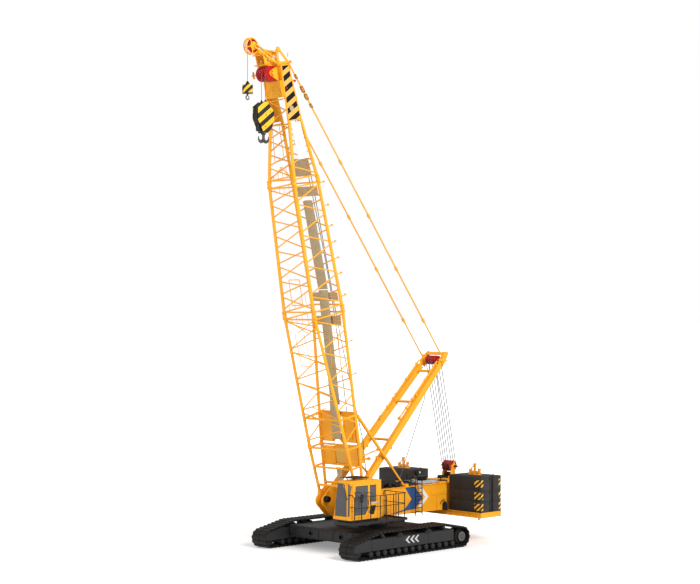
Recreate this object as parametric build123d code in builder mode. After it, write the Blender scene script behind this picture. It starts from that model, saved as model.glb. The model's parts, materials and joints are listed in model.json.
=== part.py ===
from build123d import *
from math import cos, sin, radians, hypot
import os

# Lattice-boom crawler crane, millimetres, +X forward, +Y left, +Z up.
# Z = 0 is the ground.  The slewing axis stands at X = SLEW_X, so that the origin
# lies under the middle of the whole machine.
os.makedirs("parts", exist_ok=True)

SLEW_X = -642
GAP = 0.3            # pieces on one body that lie against each other
RUN = 0.8            # flat faces that turn past each other
PIN_PLAY = 0.08      # round pin in its bore, on the radius

# Crawler undercarriage
TRACK_GAUGE = 7482   # between the middles of the two tracks
SHOE_WIDTH = 1193
TRACK_BAND = 150     # links and shoes together
IDLER_X, IDLER_R = 4290, 560           # outer radius over the shoes
SPROCKET_X, SPROCKET_R = -4160, 620
CARRIER_X, CARRIER_TOP = 2450, 1520    # top run over the carrier rollers
CARRIER_R = 110
CARRIER_PLACES = (2400, 1030, -1280, -2650)
ROLLER_R, ROLLER_COUNT, ROLLER_PITCH = 150, 13, 560
FRAME_WIDTH = 1040
FRAME_BOTTOM, FRAME_TOP = 470, 1130
FRAME_REAR, FRAME_FRONT = -3430, 3420  # of the box between its two side plates
FRAME_PLATE, FRAME_NOSE = 60, 4760     # side plates, which reach past the idler
IDLER_WIDTH = 620
CARBODY_HALF_X, CARBODY_BOTTOM, CARBODY_TOP = 2900, 620, 1280
TOW_BORE, TOW_Y, TOW_Z, TOW_DEPTH = 240, 1290, 940, 400
RING_R, RING_HEIGHT = 1420, 260

# Superstructure
DECK_BOTTOM, DECK_TOP = 1868, 1960
GIRDER_OUTER, GIRDER_WIDTH = 1450, 400
GIRDER_FRONT, GIRDER_REAR, GIRDER_TOP = 560, -6097, 3462
STOP_SEAT_X, STOP_SEAT_Y = -2300, 1250  # where the boom's backstops bear
NOSE_PLATE = 120                      # thickness of the four nose plates
NOSE_INNER_Y = 870                   # middle of each inner nose plate
PIVOT_X, PIVOT_Z, PIVOT_R = 1750, 2600, 120
TRAY_BOTTOM, TRAY_TOP = 1547, 1850
STACK_FRONT, STACK_REAR = -5754, -7569
STACK_INNER, STACK_OUTER = 1743, 4328
SLAB_HEIGHTS = (680, 650, 829)        # from the bottom up
REAR_POST_REAR, REAR_POST_WIDTH, REAR_POST_TOP = -7800, 1280, 3560
LUFF_BLOCK_X, LUFF_BLOCK_Z, LUFF_SHEAVE_R = -7640, 4290, 340
LUFF_BLOCK_HALF, LUFF_PLATE = 370, 40  # half width over its two plates

# Cab
CAB_REAR, CAB_FRONT = 1385, 3864
CAB_INNER, CAB_OUTER = 1722, 3078
CAB_INNER_TOP = 2120  # the inner wall leans away from the boom
CAB_FLOOR, CAB_ROOF = 2122, 4264
CAB_WALL = 60
CAB_FLOOR_PLATE, CAB_ROOF_PLATE = 150, 90
GLASS = 12

# Boom: a straight axis from the boom origin, S along it and D in front of it
BOOM_X, BOOM_Z, BOOM_ANGLE = 1478, 2551, 78.363
CHORD_R = 90
LACE_R = 38
CHORD_END = 130      # chords end this far from the middle of a knuckle
KNUCKLE_R = 118
# columns: place along the boom, half width, depth to the rear and to the front of the
# axis, all to the chords' middles
STATIONS = dict(
    foot=(900, 1575, 270, 270),
    kink=(3600, 1600, 486, 486),
    joint1=(11612, 1271, 1127, 1127),
    joint2=(19232, 1083, 905, 905),
    head=(22700, 800, 560, 350),
    top=(25950, 800, 290, 340),
)
# columns: section, lower station, upper station, half panels of lacing, and for the
# front, left, rear and right faces which of their two chords the lowest lace starts at
SECTIONS = (
    ("base", "kink", "joint1", 8, (0, 0, 0, 1)),
    ("insert", "joint1", "joint2", 8, (1, 1, 1, 1)),
    ("head", "joint2", "head", 4, (1, 1, 1, 1)),
)

# Mast
MAST_X, MAST_Z, MAST_ANGLE, MAST_LENGTH = 1960, 2750, 135.02, 11530
MAST_FOOT_Y, MAST_TIP_Y = 1180, 750
MAST_LEG_WIDTH, MAST_LEG_DEPTH = 290, 350
MAST_CROSS_R, MAST_CROSS_PLACES = 80, (5000, 8050, 10600)
MAST_LUG = 120        # thickness of the lug at the foot of a leg
MAST_SHEAVE_R, MAST_SHEAVE_HALF = 280, 430
STOP_R, STOP_ROD_R, STOP_HEAD_S = 95, 60, 5300   # backstops
STOP_LEAN = 0.81      # cosine of their angle to the boom
PENDANT_R = 45

U = Vector(cos(radians(BOOM_ANGLE)), 0, sin(radians(BOOM_ANGLE)))
D = Vector(sin(radians(BOOM_ANGLE)), 0, -cos(radians(BOOM_ANGLE)))
BOOM_ORIGIN = Vector(SLEW_X + BOOM_X, 0, BOOM_Z)
MAST_U = Vector(cos(radians(MAST_ANGLE)), 0, sin(radians(MAST_ANGLE)))
MAST_D = Vector(sin(radians(MAST_ANGLE)), 0, -cos(radians(MAST_ANGLE)))
MAST_ORIGIN = Vector(SLEW_X + MAST_X, 0, MAST_Z)
PIVOT = Vector(SLEW_X + PIVOT_X, 0, PIVOT_Z)
LOW = (Align.CENTER, Align.CENTER, Align.MIN)


def boom(s, d, y):
    """Point at s along the boom, d in front of its axis and y to the left."""
    return BOOM_ORIGIN + U * s + D * d + Vector(0, y, 0)


def boom_of(point):
    """s and d of a point of the machine's own frame."""
    offset = point - BOOM_ORIGIN
    return offset.dot(U), offset.dot(D)


def mast(m, d, y):
    """Point at m along the mast, d in front of its middle line, y to the left."""
    return MAST_ORIGIN + MAST_U * m + MAST_D * d + Vector(0, y, 0)


def boom_side(y):
    """Sketch plane whose x is s and whose y is d; it extrudes to the left."""
    return Plane(origin=boom(0, 0, y), x_dir=U, z_dir=(0, 1, 0))


def mast_side(y):
    return Plane(origin=mast(0, 0, y), x_dir=MAST_U, z_dir=(0, 1, 0))


def side(y):
    """Sketch plane of X and Z at y; it extrudes to the right."""
    return Plane(origin=(SLEW_X, y, 0), x_dir=(1, 0, 0), z_dir=(0, -1, 0))


def rod(start, end, radius):
    """Round bar with square ends."""
    with Locations(Plane(origin=start, z_dir=end - start)):
        Cylinder(radius, (end - start).length, align=LOW)


def beam(start, end, width, depth):
    """Rectangular bar; its width is across the machine."""
    with Locations(Plane(origin=start, x_dir=(0, 1, 0), z_dir=end - start)):
        Box(width, depth, (end - start).length, align=LOW)


def block(x, y, z):
    """Box between two X, two Y and two Z values, X from the slewing axis."""
    with Locations((SLEW_X + x[0], y[0], z[0])):
        Box(x[1] - x[0], y[1] - y[0], z[1] - z[0], align=(Align.MIN,) * 3)


def lace(start, end, chord, far_chord, radius, chord_r):
    """Round lacing from one chord's middle to another's, its two ends cut flat
    along the first chord, and clear of both chords by GAP."""
    u = (end - start).normalized()
    normal = u.cross(chord).normalized()
    across = chord.cross(normal).normalized()
    if across.dot(u) < 0:
        across = across * -1
    slope = u.dot(across)
    far_slope = abs(u.dot(far_chord.cross(normal).normalized()))
    taper = sin(radians(chord.get_angle(far_chord))) * radius / slope
    first = start + u * ((chord_r + GAP) / slope)
    length = (end - first).length - (chord_r + GAP + taper) / far_slope
    with BuildSketch(Plane(origin=first, x_dir=chord, z_dir=across)) as end_face:
        Ellipse(radius / slope, radius)
    extrude(end_face.sketch, amount=length, dir=u)


def station(name, front, left):
    """Middle of one of the four chords at a station: front and left are 1 or -1."""
    s, half_width, rear_depth, front_depth = STATIONS[name]
    return boom(s, front_depth if front > 0 else -rear_depth, half_width * left)


def half_sizes(s):
    """Half width of the boom at s, between its stations, and its depth to the rear."""
    rows = sorted(STATIONS.values())
    for (s0, width0, depth0, _), (s1, width1, depth1, _) in zip(rows, rows[1:]):
        if s <= s1:
            break
    share = (s - s0) / (s1 - s0)
    return width0 + (width1 - width0) * share, depth0 + (depth1 - depth0) * share


def rear_plane(s0, s1, inward):
    """Sketch plane in the boom's rear face, its x from s0 towards s1, moved inward."""
    start, end = boom(s0, -half_sizes(s0)[1], 0), boom(s1, -half_sizes(s1)[1], 0)
    normal = Vector(0, 1, 0).cross(end - start).normalized()
    return Plane(origin=start + normal * inward, x_dir=end - start, z_dir=normal)


def save(builder, label):
    builder.part.label = label
    export_step(builder.part, f"parts/{label}.step")


def hull(circles, inset=0, mode=Mode.ADD):
    """Face round a few circles, given as x, y and radius in the sketch's plane."""
    make_hull([Edge.make_circle(r - inset, Plane((x, y, 0))) for x, y, r in circles], mode=mode)


# ---------------------------------------------------------------- undercarriage
track_y = TRACK_GAUGE / 2
SIDES = (("left", 1), ("right", -1))
# columns: x, z and outer radius of the four places that a track runs round
track_wheels = (
    (IDLER_X, IDLER_R, IDLER_R),
    (SPROCKET_X, SPROCKET_R, SPROCKET_R),
    (CARRIER_X, CARRIER_TOP - 300, 300),
    (-CARRIER_X - 250, CARRIER_TOP - 300, 300),
)
for name, hand in SIDES:
    with BuildPart() as track:
        with BuildSketch(side(hand * track_y + SHOE_WIDTH / 2)):
            hull(track_wheels)
            hull(track_wheels, TRACK_BAND, Mode.SUBTRACT)
        extrude(amount=SHOE_WIDTH)
    save(track, f"track_{name}")

with BuildPart() as track_frames:
    for _, hand in SIDES:
        block((FRAME_REAR, FRAME_FRONT),
              (hand * track_y - FRAME_WIDTH / 2, hand * track_y + FRAME_WIDTH / 2),
              (FRAME_BOTTOM, FRAME_TOP))
        for y in (hand * track_y + FRAME_WIDTH / 2, hand * track_y - FRAME_WIDTH / 2 + FRAME_PLATE):
            with BuildSketch(side(y)):
                hull(track_wheels, TRACK_BAND + 10)
                with Locations((FRAME_REAR, FRAME_BOTTOM)):
                    Rectangle(FRAME_NOSE - FRAME_REAR, FRAME_TOP - FRAME_BOTTOM,
                              align=(Align.MIN, Align.MIN), mode=Mode.INTERSECT)
            extrude(amount=FRAME_PLATE)
save(track_frames, "track_frames")

carbody_half_y = track_y - SHOE_WIDTH / 2 - 30
with BuildPart() as carbody:
    block((-CARBODY_HALF_X, CARBODY_HALF_X), (-carbody_half_y, carbody_half_y),
          (CARBODY_BOTTOM, CARBODY_TOP))
    with Locations(Plane.YZ.offset(SLEW_X + CARBODY_HALF_X)):
        with Locations((TOW_Y, TOW_Z), (-TOW_Y, TOW_Z)):
            Hole(TOW_BORE / 2, depth=TOW_DEPTH)
    for _, hand in SIDES:
        low, high = sorted((hand * (carbody_half_y + GAP), hand * (track_y - FRAME_WIDTH / 2 - GAP)))
        for x in (-CARBODY_HALF_X + 100, CARBODY_HALF_X - 900):
            block((x, x + 800), (low, high), (CARBODY_BOTTOM, FRAME_TOP))
save(carbody, "carbody")

# columns: node, x, radius over the tread, width of the tread, radius and width of the hub
for label, x, r, width, hub_r, hub_width in (
    ("idlers", IDLER_X, IDLER_R - TRACK_BAND - GAP, IDLER_WIDTH, 160,
     FRAME_WIDTH - 2 * FRAME_PLATE - 2 * GAP),
    ("drive_sprockets", SPROCKET_X, SPROCKET_R - TRACK_BAND - GAP, IDLER_WIDTH, 280, FRAME_WIDTH),
):
    with BuildPart() as wheels:
        for _, hand in SIDES:
            for radius, length in ((r, width), (hub_r, hub_width)):
                with BuildSketch(side(hand * track_y + length / 2)):
                    with Locations((x, r + TRACK_BAND + GAP)):
                        Circle(radius)
                extrude(amount=length)
    save(wheels, label)

with BuildPart() as track_rollers:
    for _, hand in SIDES:
        with BuildSketch(side(hand * track_y + FRAME_WIDTH / 2)):
            with Locations((0, TRACK_BAND + GAP + ROLLER_R)):
                with GridLocations(ROLLER_PITCH, 1, ROLLER_COUNT, 1):
                    Circle(ROLLER_R)
        extrude(amount=FRAME_WIDTH)
        for x in CARRIER_PLACES:
            z = CARRIER_TOP - TRACK_BAND - GAP - CARRIER_R
            top = FRAME_TOP + GAP
            block((x - 60, x + 60), (hand * track_y - 200, hand * track_y + 200), (top, z))
            with BuildSketch(side(hand * track_y + 480)):
                with Locations((x, z)):
                    Circle(CARRIER_R)
            extrude(amount=960)
save(track_rollers, "track_rollers")

with BuildPart() as slew_ring:
    with Locations((SLEW_X, 0, CARBODY_TOP + GAP)):
        Cylinder(RING_R, RING_HEIGHT, align=LOW)
save(slew_ring, "slew_ring")

# --------------------------------------------------------------- superstructure
ring_top = CARBODY_TOP + GAP + RING_HEIGHT + RUN
with BuildPart() as deck:
    with Locations((SLEW_X, 0, ring_top)):
        Cylinder(RING_R - 60, DECK_BOTTOM - GAP - ring_top, align=LOW)
    inside = GIRDER_OUTER - GIRDER_WIDTH - GAP
    block((GIRDER_REAR, GIRDER_FRONT), (-inside, inside), (DECK_BOTTOM, DECK_TOP))
    inside = NOSE_INNER_Y - NOSE_PLATE / 2 - GAP
    block((GIRDER_FRONT + GAP, GIRDER_FRONT + 900), (-inside, inside), (DECK_BOTTOM, DECK_TOP))
save(deck, "deck")

with BuildPart() as girders:
    for _, hand in SIDES:
        y_low, y_high = sorted((hand * GIRDER_OUTER, hand * (GIRDER_OUTER - GIRDER_WIDTH)))
        block((GIRDER_REAR, GIRDER_FRONT), (y_low, y_high), (DECK_BOTTOM, GIRDER_TOP))
        y = hand * STOP_SEAT_Y
        block((STOP_SEAT_X - 320, STOP_SEAT_X - 60), (y - 100, y + 100),
              (GIRDER_TOP + GAP, GIRDER_TOP + 160))
save(girders, "main_girders")

nose_outer_y = GIRDER_OUTER - NOSE_PLATE / 2
# columns: x, z and radius of the rounded corners of a nose plate
nose_corners = (
    (GIRDER_FRONT + GAP + 60, DECK_BOTTOM + 60, 60), (1500, 2120, 240), (2000, 2800, 380),
    (1450, 3380, 320), (GIRDER_FRONT + GAP + 60, 3350, 60),
)
with BuildPart() as nose_plates:
    for y in (nose_outer_y, NOSE_INNER_Y, -NOSE_INNER_Y, -nose_outer_y):
        with BuildSketch(side(y + NOSE_PLATE / 2)):
            hull(nose_corners)
            with Locations((PIVOT_X, PIVOT_Z)):
                Circle(PIVOT_R + PIN_PLAY, mode=Mode.SUBTRACT)
        extrude(amount=NOSE_PLATE)
save(nose_plates, "nose_plates")

with BuildPart() as engine_block:
    block((-4900, -2700), (-900, 900), (DECK_TOP + GAP, 3300))
save(engine_block, "engine_block")

with BuildPart() as machinery_covers:
    block((-5000, -2600), (GAP - GIRDER_OUTER + GIRDER_WIDTH, GIRDER_OUTER - GIRDER_WIDTH - GAP),
          (3300 + 2 * GAP, 3480))
save(machinery_covers, "machinery_cover")

with BuildPart() as tray:
    block((STACK_REAR, STACK_FRONT), (-STACK_OUTER, STACK_OUTER), (TRAY_BOTTOM, TRAY_TOP))
save(tray, "counterweight_tray")

for name, hand in SIDES:
    low, high = sorted((hand * STACK_INNER, hand * STACK_OUTER))
    with BuildPart() as stack:
        z = TRAY_TOP + GAP
        for height in SLAB_HEIGHTS:
            block((STACK_REAR, STACK_FRONT), (low, high), (z, z + height - GAP))
            z += height
    save(stack, f"counterweights_{name}")
stack_top = TRAY_TOP + sum(SLAB_HEIGHTS)

with BuildPart() as lifting_brackets:
    middle_x = (STACK_FRONT + STACK_REAR) / 2
    middle_y = (STACK_INNER + STACK_OUTER) / 2
    # columns: place across the stack, half width, bottom and top of a post or bar
    for offset, half, low, high in ((0, 60, GAP, 700), (-360, 40, GAP, 330), (360, 40, GAP, 400),
                                    (0, 430, 110, 230)):
        for _, hand in SIDES:
            y = hand * middle_y + offset
            block((middle_x - 60, middle_x + 60), (y - half, y + half),
                  (stack_top + low, stack_top + high))
save(lifting_brackets, "lifting_brackets")

with BuildPart() as rear_post:
    block((REAR_POST_REAR, GIRDER_REAR - GAP), (-REAR_POST_WIDTH / 2, REAR_POST_WIDTH / 2),
          (TRAY_TOP + GAP, REAR_POST_TOP))
    for y in (-LUFF_BLOCK_HALF + LUFF_PLATE, LUFF_BLOCK_HALF):
        with BuildSketch(side(y)):
            hull(((LUFF_BLOCK_X, LUFF_BLOCK_Z, 160), (LUFF_BLOCK_X - 120, REAR_POST_TOP + GAP + 40, 40),
                  (LUFF_BLOCK_X + 300, REAR_POST_TOP + GAP + 40, 40)))
        extrude(amount=LUFF_PLATE)
save(rear_post, "rear_post")

with BuildPart() as luffing_sheaves:
    half = LUFF_BLOCK_HALF - LUFF_PLATE - RUN
    with BuildSketch(side(half)):
        with Locations((LUFF_BLOCK_X, LUFF_BLOCK_Z)):
            Circle(LUFF_SHEAVE_R)
    extrude(amount=2 * half)
save(luffing_sheaves, "luffing_block_sheaves")

# columns: node, x, z and radius of a winch drum on the deck
DRUMS = (("hoist_drum_front", -350, 2780, 420), ("hoist_drum_rear", -1750, 2780, 420))
with BuildPart() as winch_frames:
    for _, x, z, r in DRUMS:
        for y in (-940, 900):
            block((x - 260, x + 260), (y, y + 40), (DECK_TOP + GAP, z + 200))
save(winch_frames, "winch_frames")
for label, x, z, r in DRUMS:
    with BuildPart() as drum:
        for y, radius, length in ((900 - RUN, r + 90, 40), (860 - RUN, r, 1720 - 2 * RUN),
                                  (-860 + RUN, r + 90, 40)):
            with BuildSketch(side(y)):
                with Locations((x, z)):
                    Circle(radius)
            extrude(amount=length)
    save(drum, label)

# -------------------------------------------------------------------------- cab
cab_floor_top = CAB_FLOOR + CAB_FLOOR_PLATE
cab_roof_low = CAB_ROOF - CAB_ROOF_PLATE
wall_z = (cab_floor_top + GAP, cab_roof_low - GAP)
with BuildPart() as cab_floor:
    block((CAB_REAR, CAB_FRONT), (CAB_INNER, CAB_OUTER), (CAB_FLOOR, cab_floor_top))
    chamfer(cab_floor.edges().filter_by(Axis.Z), CAB_WALL)
save(cab_floor, "cab_floor")
with BuildPart() as cab_roof:
    block((CAB_REAR, CAB_FRONT), (CAB_INNER_TOP, CAB_OUTER), (cab_roof_low, CAB_ROOF))
    chamfer(cab_roof.edges().filter_by(Axis.Z), CAB_WALL)
    block((CAB_REAR + 700, CAB_FRONT + 30), (CAB_INNER_TOP + 20, CAB_OUTER - 90),
          (CAB_ROOF, CAB_ROOF + 90))
save(cab_roof, "cab_roof")


def inner_y(z):
    """Outer face of the cab's leaning inner wall at a height."""
    share = (z - wall_z[0]) / (wall_z[1] - wall_z[0])
    return CAB_INNER + (CAB_INNER_TOP - CAB_INNER) * share


def inner_wall(z0, z1, y_from, y_to):
    """Slanting strip of the inner wall between two heights and two depths into it."""
    Polygon((inner_y(z0) + y_from, z0), (inner_y(z0) + y_to, z0),
            (inner_y(z1) + y_to, z1), (inner_y(z1) + y_from, z1), align=None)


def end_face(z0, z1, inner_rim, outer_rim, mode=Mode.ADD):
    """Shape of the cab's front between two heights, in by a rim on either side."""
    Polygon((inner_y(z0) + inner_rim, z0), (CAB_OUTER - outer_rim, z0),
            (CAB_OUTER - outer_rim, z1), (inner_y(z1) + inner_rim, z1), align=None, mode=mode)


# openings of the cab's walls: two X (or Y) values and two Z values
INNER_WINDOW_X, INNER_WINDOW_Z = (2000, 3500), (2850, 3950)
WINDSHIELD_Z, REAR_WINDOW_Z, WINDSHIELD_RIM, PILLAR = (2330, 4100), (3000, 4000), 90, 240
DOOR_X, DOOR_Z = (2430, 3690), (cab_floor_top + 30, cab_roof_low - 30)
REAR_QUARTER_X = (1830, 2260)
DOOR_THICK, DOOR_LAP, DOOR_TRAVEL, DOOR_GAP = 40, 30, 650, 6
with BuildPart() as cab_side_walls:
    for z in (DOOR_Z[0] - 35, DOOR_Z[1] + 5):
        block((DOOR_X[0] - DOOR_TRAVEL, DOOR_X[1] + 150), (CAB_OUTER + GAP, CAB_OUTER + DOOR_GAP - RUN),
              (z, z + 30))
    block((CAB_REAR + CAB_WALL + GAP, CAB_FRONT - CAB_WALL - GAP),
          (CAB_OUTER - CAB_WALL, CAB_OUTER), wall_z)
    with BuildSketch(side(CAB_OUTER)):
        with Locations((sum(DOOR_X) / 2, sum(DOOR_Z) / 2)):
            Rectangle(DOOR_X[1] - DOOR_X[0], DOOR_Z[1] - DOOR_Z[0])
        with Locations((sum(REAR_QUARTER_X) / 2, 3560)):
            Rectangle(REAR_QUARTER_X[1] - REAR_QUARTER_X[0], 900)
    extrude(amount=CAB_WALL, mode=Mode.SUBTRACT)
    with BuildSketch(Plane.YZ.offset(SLEW_X + CAB_REAR + CAB_WALL + GAP)):
        inner_wall(wall_z[0], wall_z[1], 0, CAB_WALL)
    extrude(amount=CAB_FRONT - CAB_REAR - 2 * (CAB_WALL + GAP))
    with BuildSketch(side(CAB_INNER_TOP + CAB_WALL)):
        with Locations((sum(INNER_WINDOW_X) / 2, sum(INNER_WINDOW_Z) / 2)):
            Rectangle(INNER_WINDOW_X[1] - INNER_WINDOW_X[0], INNER_WINDOW_Z[1] - INNER_WINDOW_Z[0])
    extrude(amount=CAB_INNER_TOP - CAB_INNER + CAB_WALL, mode=Mode.SUBTRACT)
save(cab_side_walls, "cab_side_walls")
with BuildPart() as cab_ends:
    for x0 in (CAB_FRONT - CAB_WALL, CAB_REAR):
        window = WINDSHIELD_Z if x0 > CAB_REAR else REAR_WINDOW_Z
        with BuildSketch(Plane.YZ.offset(SLEW_X + x0)):
            end_face(*wall_z, 0, 0)
            end_face(*window, WINDSHIELD_RIM, PILLAR, Mode.SUBTRACT)
        extrude(amount=CAB_WALL)
save(cab_ends, "cab_front_and_rear")

with BuildPart() as cab_glass:
    for x0, (z0, z1) in ((CAB_FRONT - CAB_WALL / 2, WINDSHIELD_Z), (CAB_REAR + CAB_WALL / 2, REAR_WINDOW_Z)):
        with BuildSketch(Plane.YZ.offset(SLEW_X + x0)):
            end_face(z0 + GAP, z1 - GAP, WINDSHIELD_RIM + GAP, PILLAR + GAP)
        extrude(amount=GLASS)
    with BuildSketch(Plane.YZ.offset(SLEW_X + INNER_WINDOW_X[0] + GAP)):
        inner_wall(INNER_WINDOW_Z[0] + GAP, INNER_WINDOW_Z[1] - GAP, CAB_WALL / 2, CAB_WALL / 2 + GLASS)
    extrude(amount=INNER_WINDOW_X[1] - INNER_WINDOW_X[0] - 2 * GAP)
    y0 = CAB_OUTER - CAB_WALL / 2
    block((REAR_QUARTER_X[0] + GAP, REAR_QUARTER_X[1] - GAP), (y0 - GLASS, y0),
          (3110 + GAP, 4010 - GAP))
save(cab_glass, "cab_glass")

# sliding door: it stands proud of the wall and slides rearward outside it
door_x = (DOOR_X[0] - DOOR_LAP, DOOR_X[1] + DOOR_LAP)
door_z = (DOOR_Z[0] - DOOR_LAP + 15, DOOR_Z[1] + DOOR_LAP - 15)
door_y = CAB_OUTER + DOOR_GAP
with BuildPart() as cab_door:
    block(door_x, (door_y, door_y + DOOR_THICK), door_z)
    with BuildSketch(side(door_y + DOOR_THICK)):
        with Locations((sum(door_x) / 2, sum(door_z) / 2)):
            Rectangle(door_x[1] - door_x[0] - 240, door_z[1] - door_z[0] - 240)
    extrude(amount=DOOR_THICK, mode=Mode.SUBTRACT)
save(cab_door, "cab_door")
with BuildPart() as door_glass:
    block((door_x[0] + 120 + GAP, door_x[1] - 120 - GAP), (door_y + 14, door_y + 14 + GLASS),
          (door_z[0] + 120 + GAP, door_z[1] - 120 - GAP))
save(door_glass, "door_glass")

with BuildPart() as cab_seat:
    block((2200, 2800), (2120, 2680), (cab_floor_top + GAP, 2700))
    block((2100, 2200), (2120, 2680), (2600, 3450))
save(cab_seat, "cab_seat")

WALK_Z, WALK_PLATE, WALK_REAR = 1910, 60, -470
with BuildPart() as walkway:
    block((1500, 3700), (1800, 2950), (WALK_Z + GAP, CAB_FLOOR - GAP))
    block((WALK_REAR, CAB_FRONT), (GIRDER_OUTER + 275, CAB_OUTER + 300), (WALK_Z - WALK_PLATE, WALK_Z))
    block((WALK_REAR, 500), (GIRDER_OUTER + GAP, GIRDER_OUTER + 275), (WALK_Z - WALK_PLATE, WALK_Z))
save(walkway, "walkway")

RAIL_R, RUNG_R, RAIL_Y, RAIL_TOP = 28, 20, CAB_OUTER + 265, 3420
RAIL_POSTS = (3770, 3210, 2490, 1720, 1220, 640, 240, -260)
with BuildPart() as handrails:
    for x in RAIL_POSTS:
        rod(Vector(SLEW_X + x, RAIL_Y, WALK_Z + GAP), Vector(SLEW_X + x, RAIL_Y, RAIL_TOP), RAIL_R)
    for z in (2810, RAIL_TOP):
        rod(Vector(SLEW_X + RAIL_POSTS[-1], RAIL_Y, z), Vector(SLEW_X + RAIL_POSTS[0], RAIL_Y, z), RUNG_R)
save(handrails, "handrails")

LADDER_X, LADDER_Y = (-2720, -3270), 1850
with BuildPart() as ladder:
    for x in LADDER_X:
        rod(Vector(SLEW_X + x, LADDER_Y, 1750), Vector(SLEW_X + x, LADDER_Y, 3800), RAIL_R)
        for z in (1900, 3400):
            rod(Vector(SLEW_X + x, GIRDER_OUTER + GAP, z), Vector(SLEW_X + x, LADDER_Y, z), RUNG_R)
    for rung in range(7):
        z = 1990 + rung * 225
        rod(Vector(SLEW_X + LADDER_X[0], LADDER_Y, z), Vector(SLEW_X + LADDER_X[1], LADDER_Y, z), RUNG_R)
save(ladder, "ladder")

# ------------------------------------------------------------------------- boom
def chord_line(section, front, left):
    """Start and end of a chord's middle in a section."""
    return station(section[1], front, left), station(section[2], front, left)


PORTAL_PANELS = 2     # half panels of the rear face that the portal's plates take
PORTAL_TOP = 5560
CORNERS = ((1, -1), (1, 1), (-1, 1), (-1, -1))
for section in SECTIONS:
    label, panels, starts = section[0], section[3], section[4]
    with BuildPart() as boom_section:
        for front, left in CORNERS:
            start, end = chord_line(section, front, left)
            along = (end - start).normalized()
            above = CHORD_END
            if label == "head":
                # its square end, which leans, stops just short of the head's plates
                above = 2 * GAP + CHORD_R * abs((end - start).dot(D)) / (end - start).dot(U)
            rod(start + along * CHORD_END, end - along * above, CHORD_R)
            if label == "base":
                foot = station("foot", front, left)
                rod(foot, start - (start - foot).normalized() * CHORD_END, CHORD_R)
        for face, one in enumerate(CORNERS):
            other = CORNERS[(face + 1) % 4]
            ends = (chord_line(section, *one), chord_line(section, *other))
            along = [(b - a).normalized() for a, b in ends]
            bare = PORTAL_PANELS if label == "base" and face == 2 else 0
            for panel in range(bare, panels):
                near = (panel + starts[face]) % 2
                t0, t1 = (panel + 0.45) / (panels + 0.6), (panel + 1.25) / (panels + 0.6)
                a = ends[near][0] + (ends[near][1] - ends[near][0]) * t0
                b = ends[1 - near][0] + (ends[1 - near][1] - ends[1 - near][0]) * t1
                lace(a, b, along[near], along[1 - near], LACE_R, CHORD_R)
    save(boom_section, f"boom_{label}")

with BuildPart() as knuckles:
    for below, above in zip((("", "foot", "kink", 0),) + SECTIONS, SECTIONS):
        for front, left in CORNERS:
            start, node = chord_line(below, front, left)
            node, end = chord_line(above, front, left)
            one, two = (node - start).normalized(), (end - node).normalized()
            middle = (one + two).normalized()
            tilt = radians(one.get_angle(two) / 2)
            reach = CHORD_END * cos(tilt) - GAP - CHORD_R * sin(tilt)
            rod(node - middle * reach, node + middle * reach, KNUCKLE_R)
save(knuckles, "boom_knuckles")

FOOT_TUBE_S, FOOT_TUBE_R = 1260, 75
FOOT_LUG_R = 110
with BuildPart() as foot_lugs:
    pivot_s, pivot_d = boom_of(PIVOT)
    foot_s, foot_half, foot_depth, _ = STATIONS["foot"]
    lug_s = foot_s - FOOT_LUG_R - 4 * GAP
    for low in (foot_half - 100, -foot_half - 75):
        with BuildSketch(boom_side(low)):
            hull(((pivot_s, pivot_d, 300), (lug_s, foot_depth, FOOT_LUG_R),
                  (lug_s, -foot_depth, FOOT_LUG_R)))
        extrude(amount=175)
    for hand in (1, -1):
        rod(PIVOT + Vector(0, hand * (GIRDER_OUTER - NOSE_PLATE - 20), 0),
            PIVOT + Vector(0, hand * (foot_half - 100 - GAP), 0), PIVOT_R)
    # columns: s and d of a tube across the foot
    for s, d in ((FOOT_TUBE_S, foot_depth), (FOOT_TUBE_S, -foot_depth)):
        rise = (s - foot_s) / (STATIONS["kink"][0] - foot_s)
        d += (STATIONS["kink"][2] - foot_depth) * rise * (1 if d > 0 else -1)
        half = half_sizes(s)[0] - CHORD_R - 2 * GAP
        rod(boom(s, d, -half), boom(s, d, half), FOOT_TUBE_R)
save(foot_lugs, "boom_foot_lugs")

PORTAL_PLATE, PORTAL_INNER = 30, 500
with BuildPart() as portal:
    # columns: s from and to of a stretch of the rear face's side plates
    for s0, s1 in ((2350, 3470), (3730, 5350)):
        width0, width1 = (half_sizes(s)[0] - CHORD_R - 2 * GAP for s in (s0, s1))
        for hand in (1, -1):
            with BuildSketch(rear_plane(s0, s1, -PORTAL_PLATE / 2)):
                with BuildLine():
                    Polyline((0, hand * PORTAL_INNER), (s1 - s0, hand * PORTAL_INNER),
                             (s1 - s0, hand * width1), (0, hand * width0), close=True)
                make_face()
            extrude(amount=PORTAL_PLATE)
    # columns: s from and to, half width of the plates across
    for s0, s1, half in ((5350 + GAP, PORTAL_TOP, half_sizes(PORTAL_TOP)[0] - CHORD_R - 2 * GAP),
                         (3900, 4250, PORTAL_INNER - GAP)):
        with BuildSketch(rear_plane(s0, s1, -PORTAL_PLATE / 2)):
            with Locations(((s1 - s0) / 2, 0)):
                Rectangle(s1 - s0, 2 * half)
        extrude(amount=PORTAL_PLATE)
save(portal, "boom_portal_plates")

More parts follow.
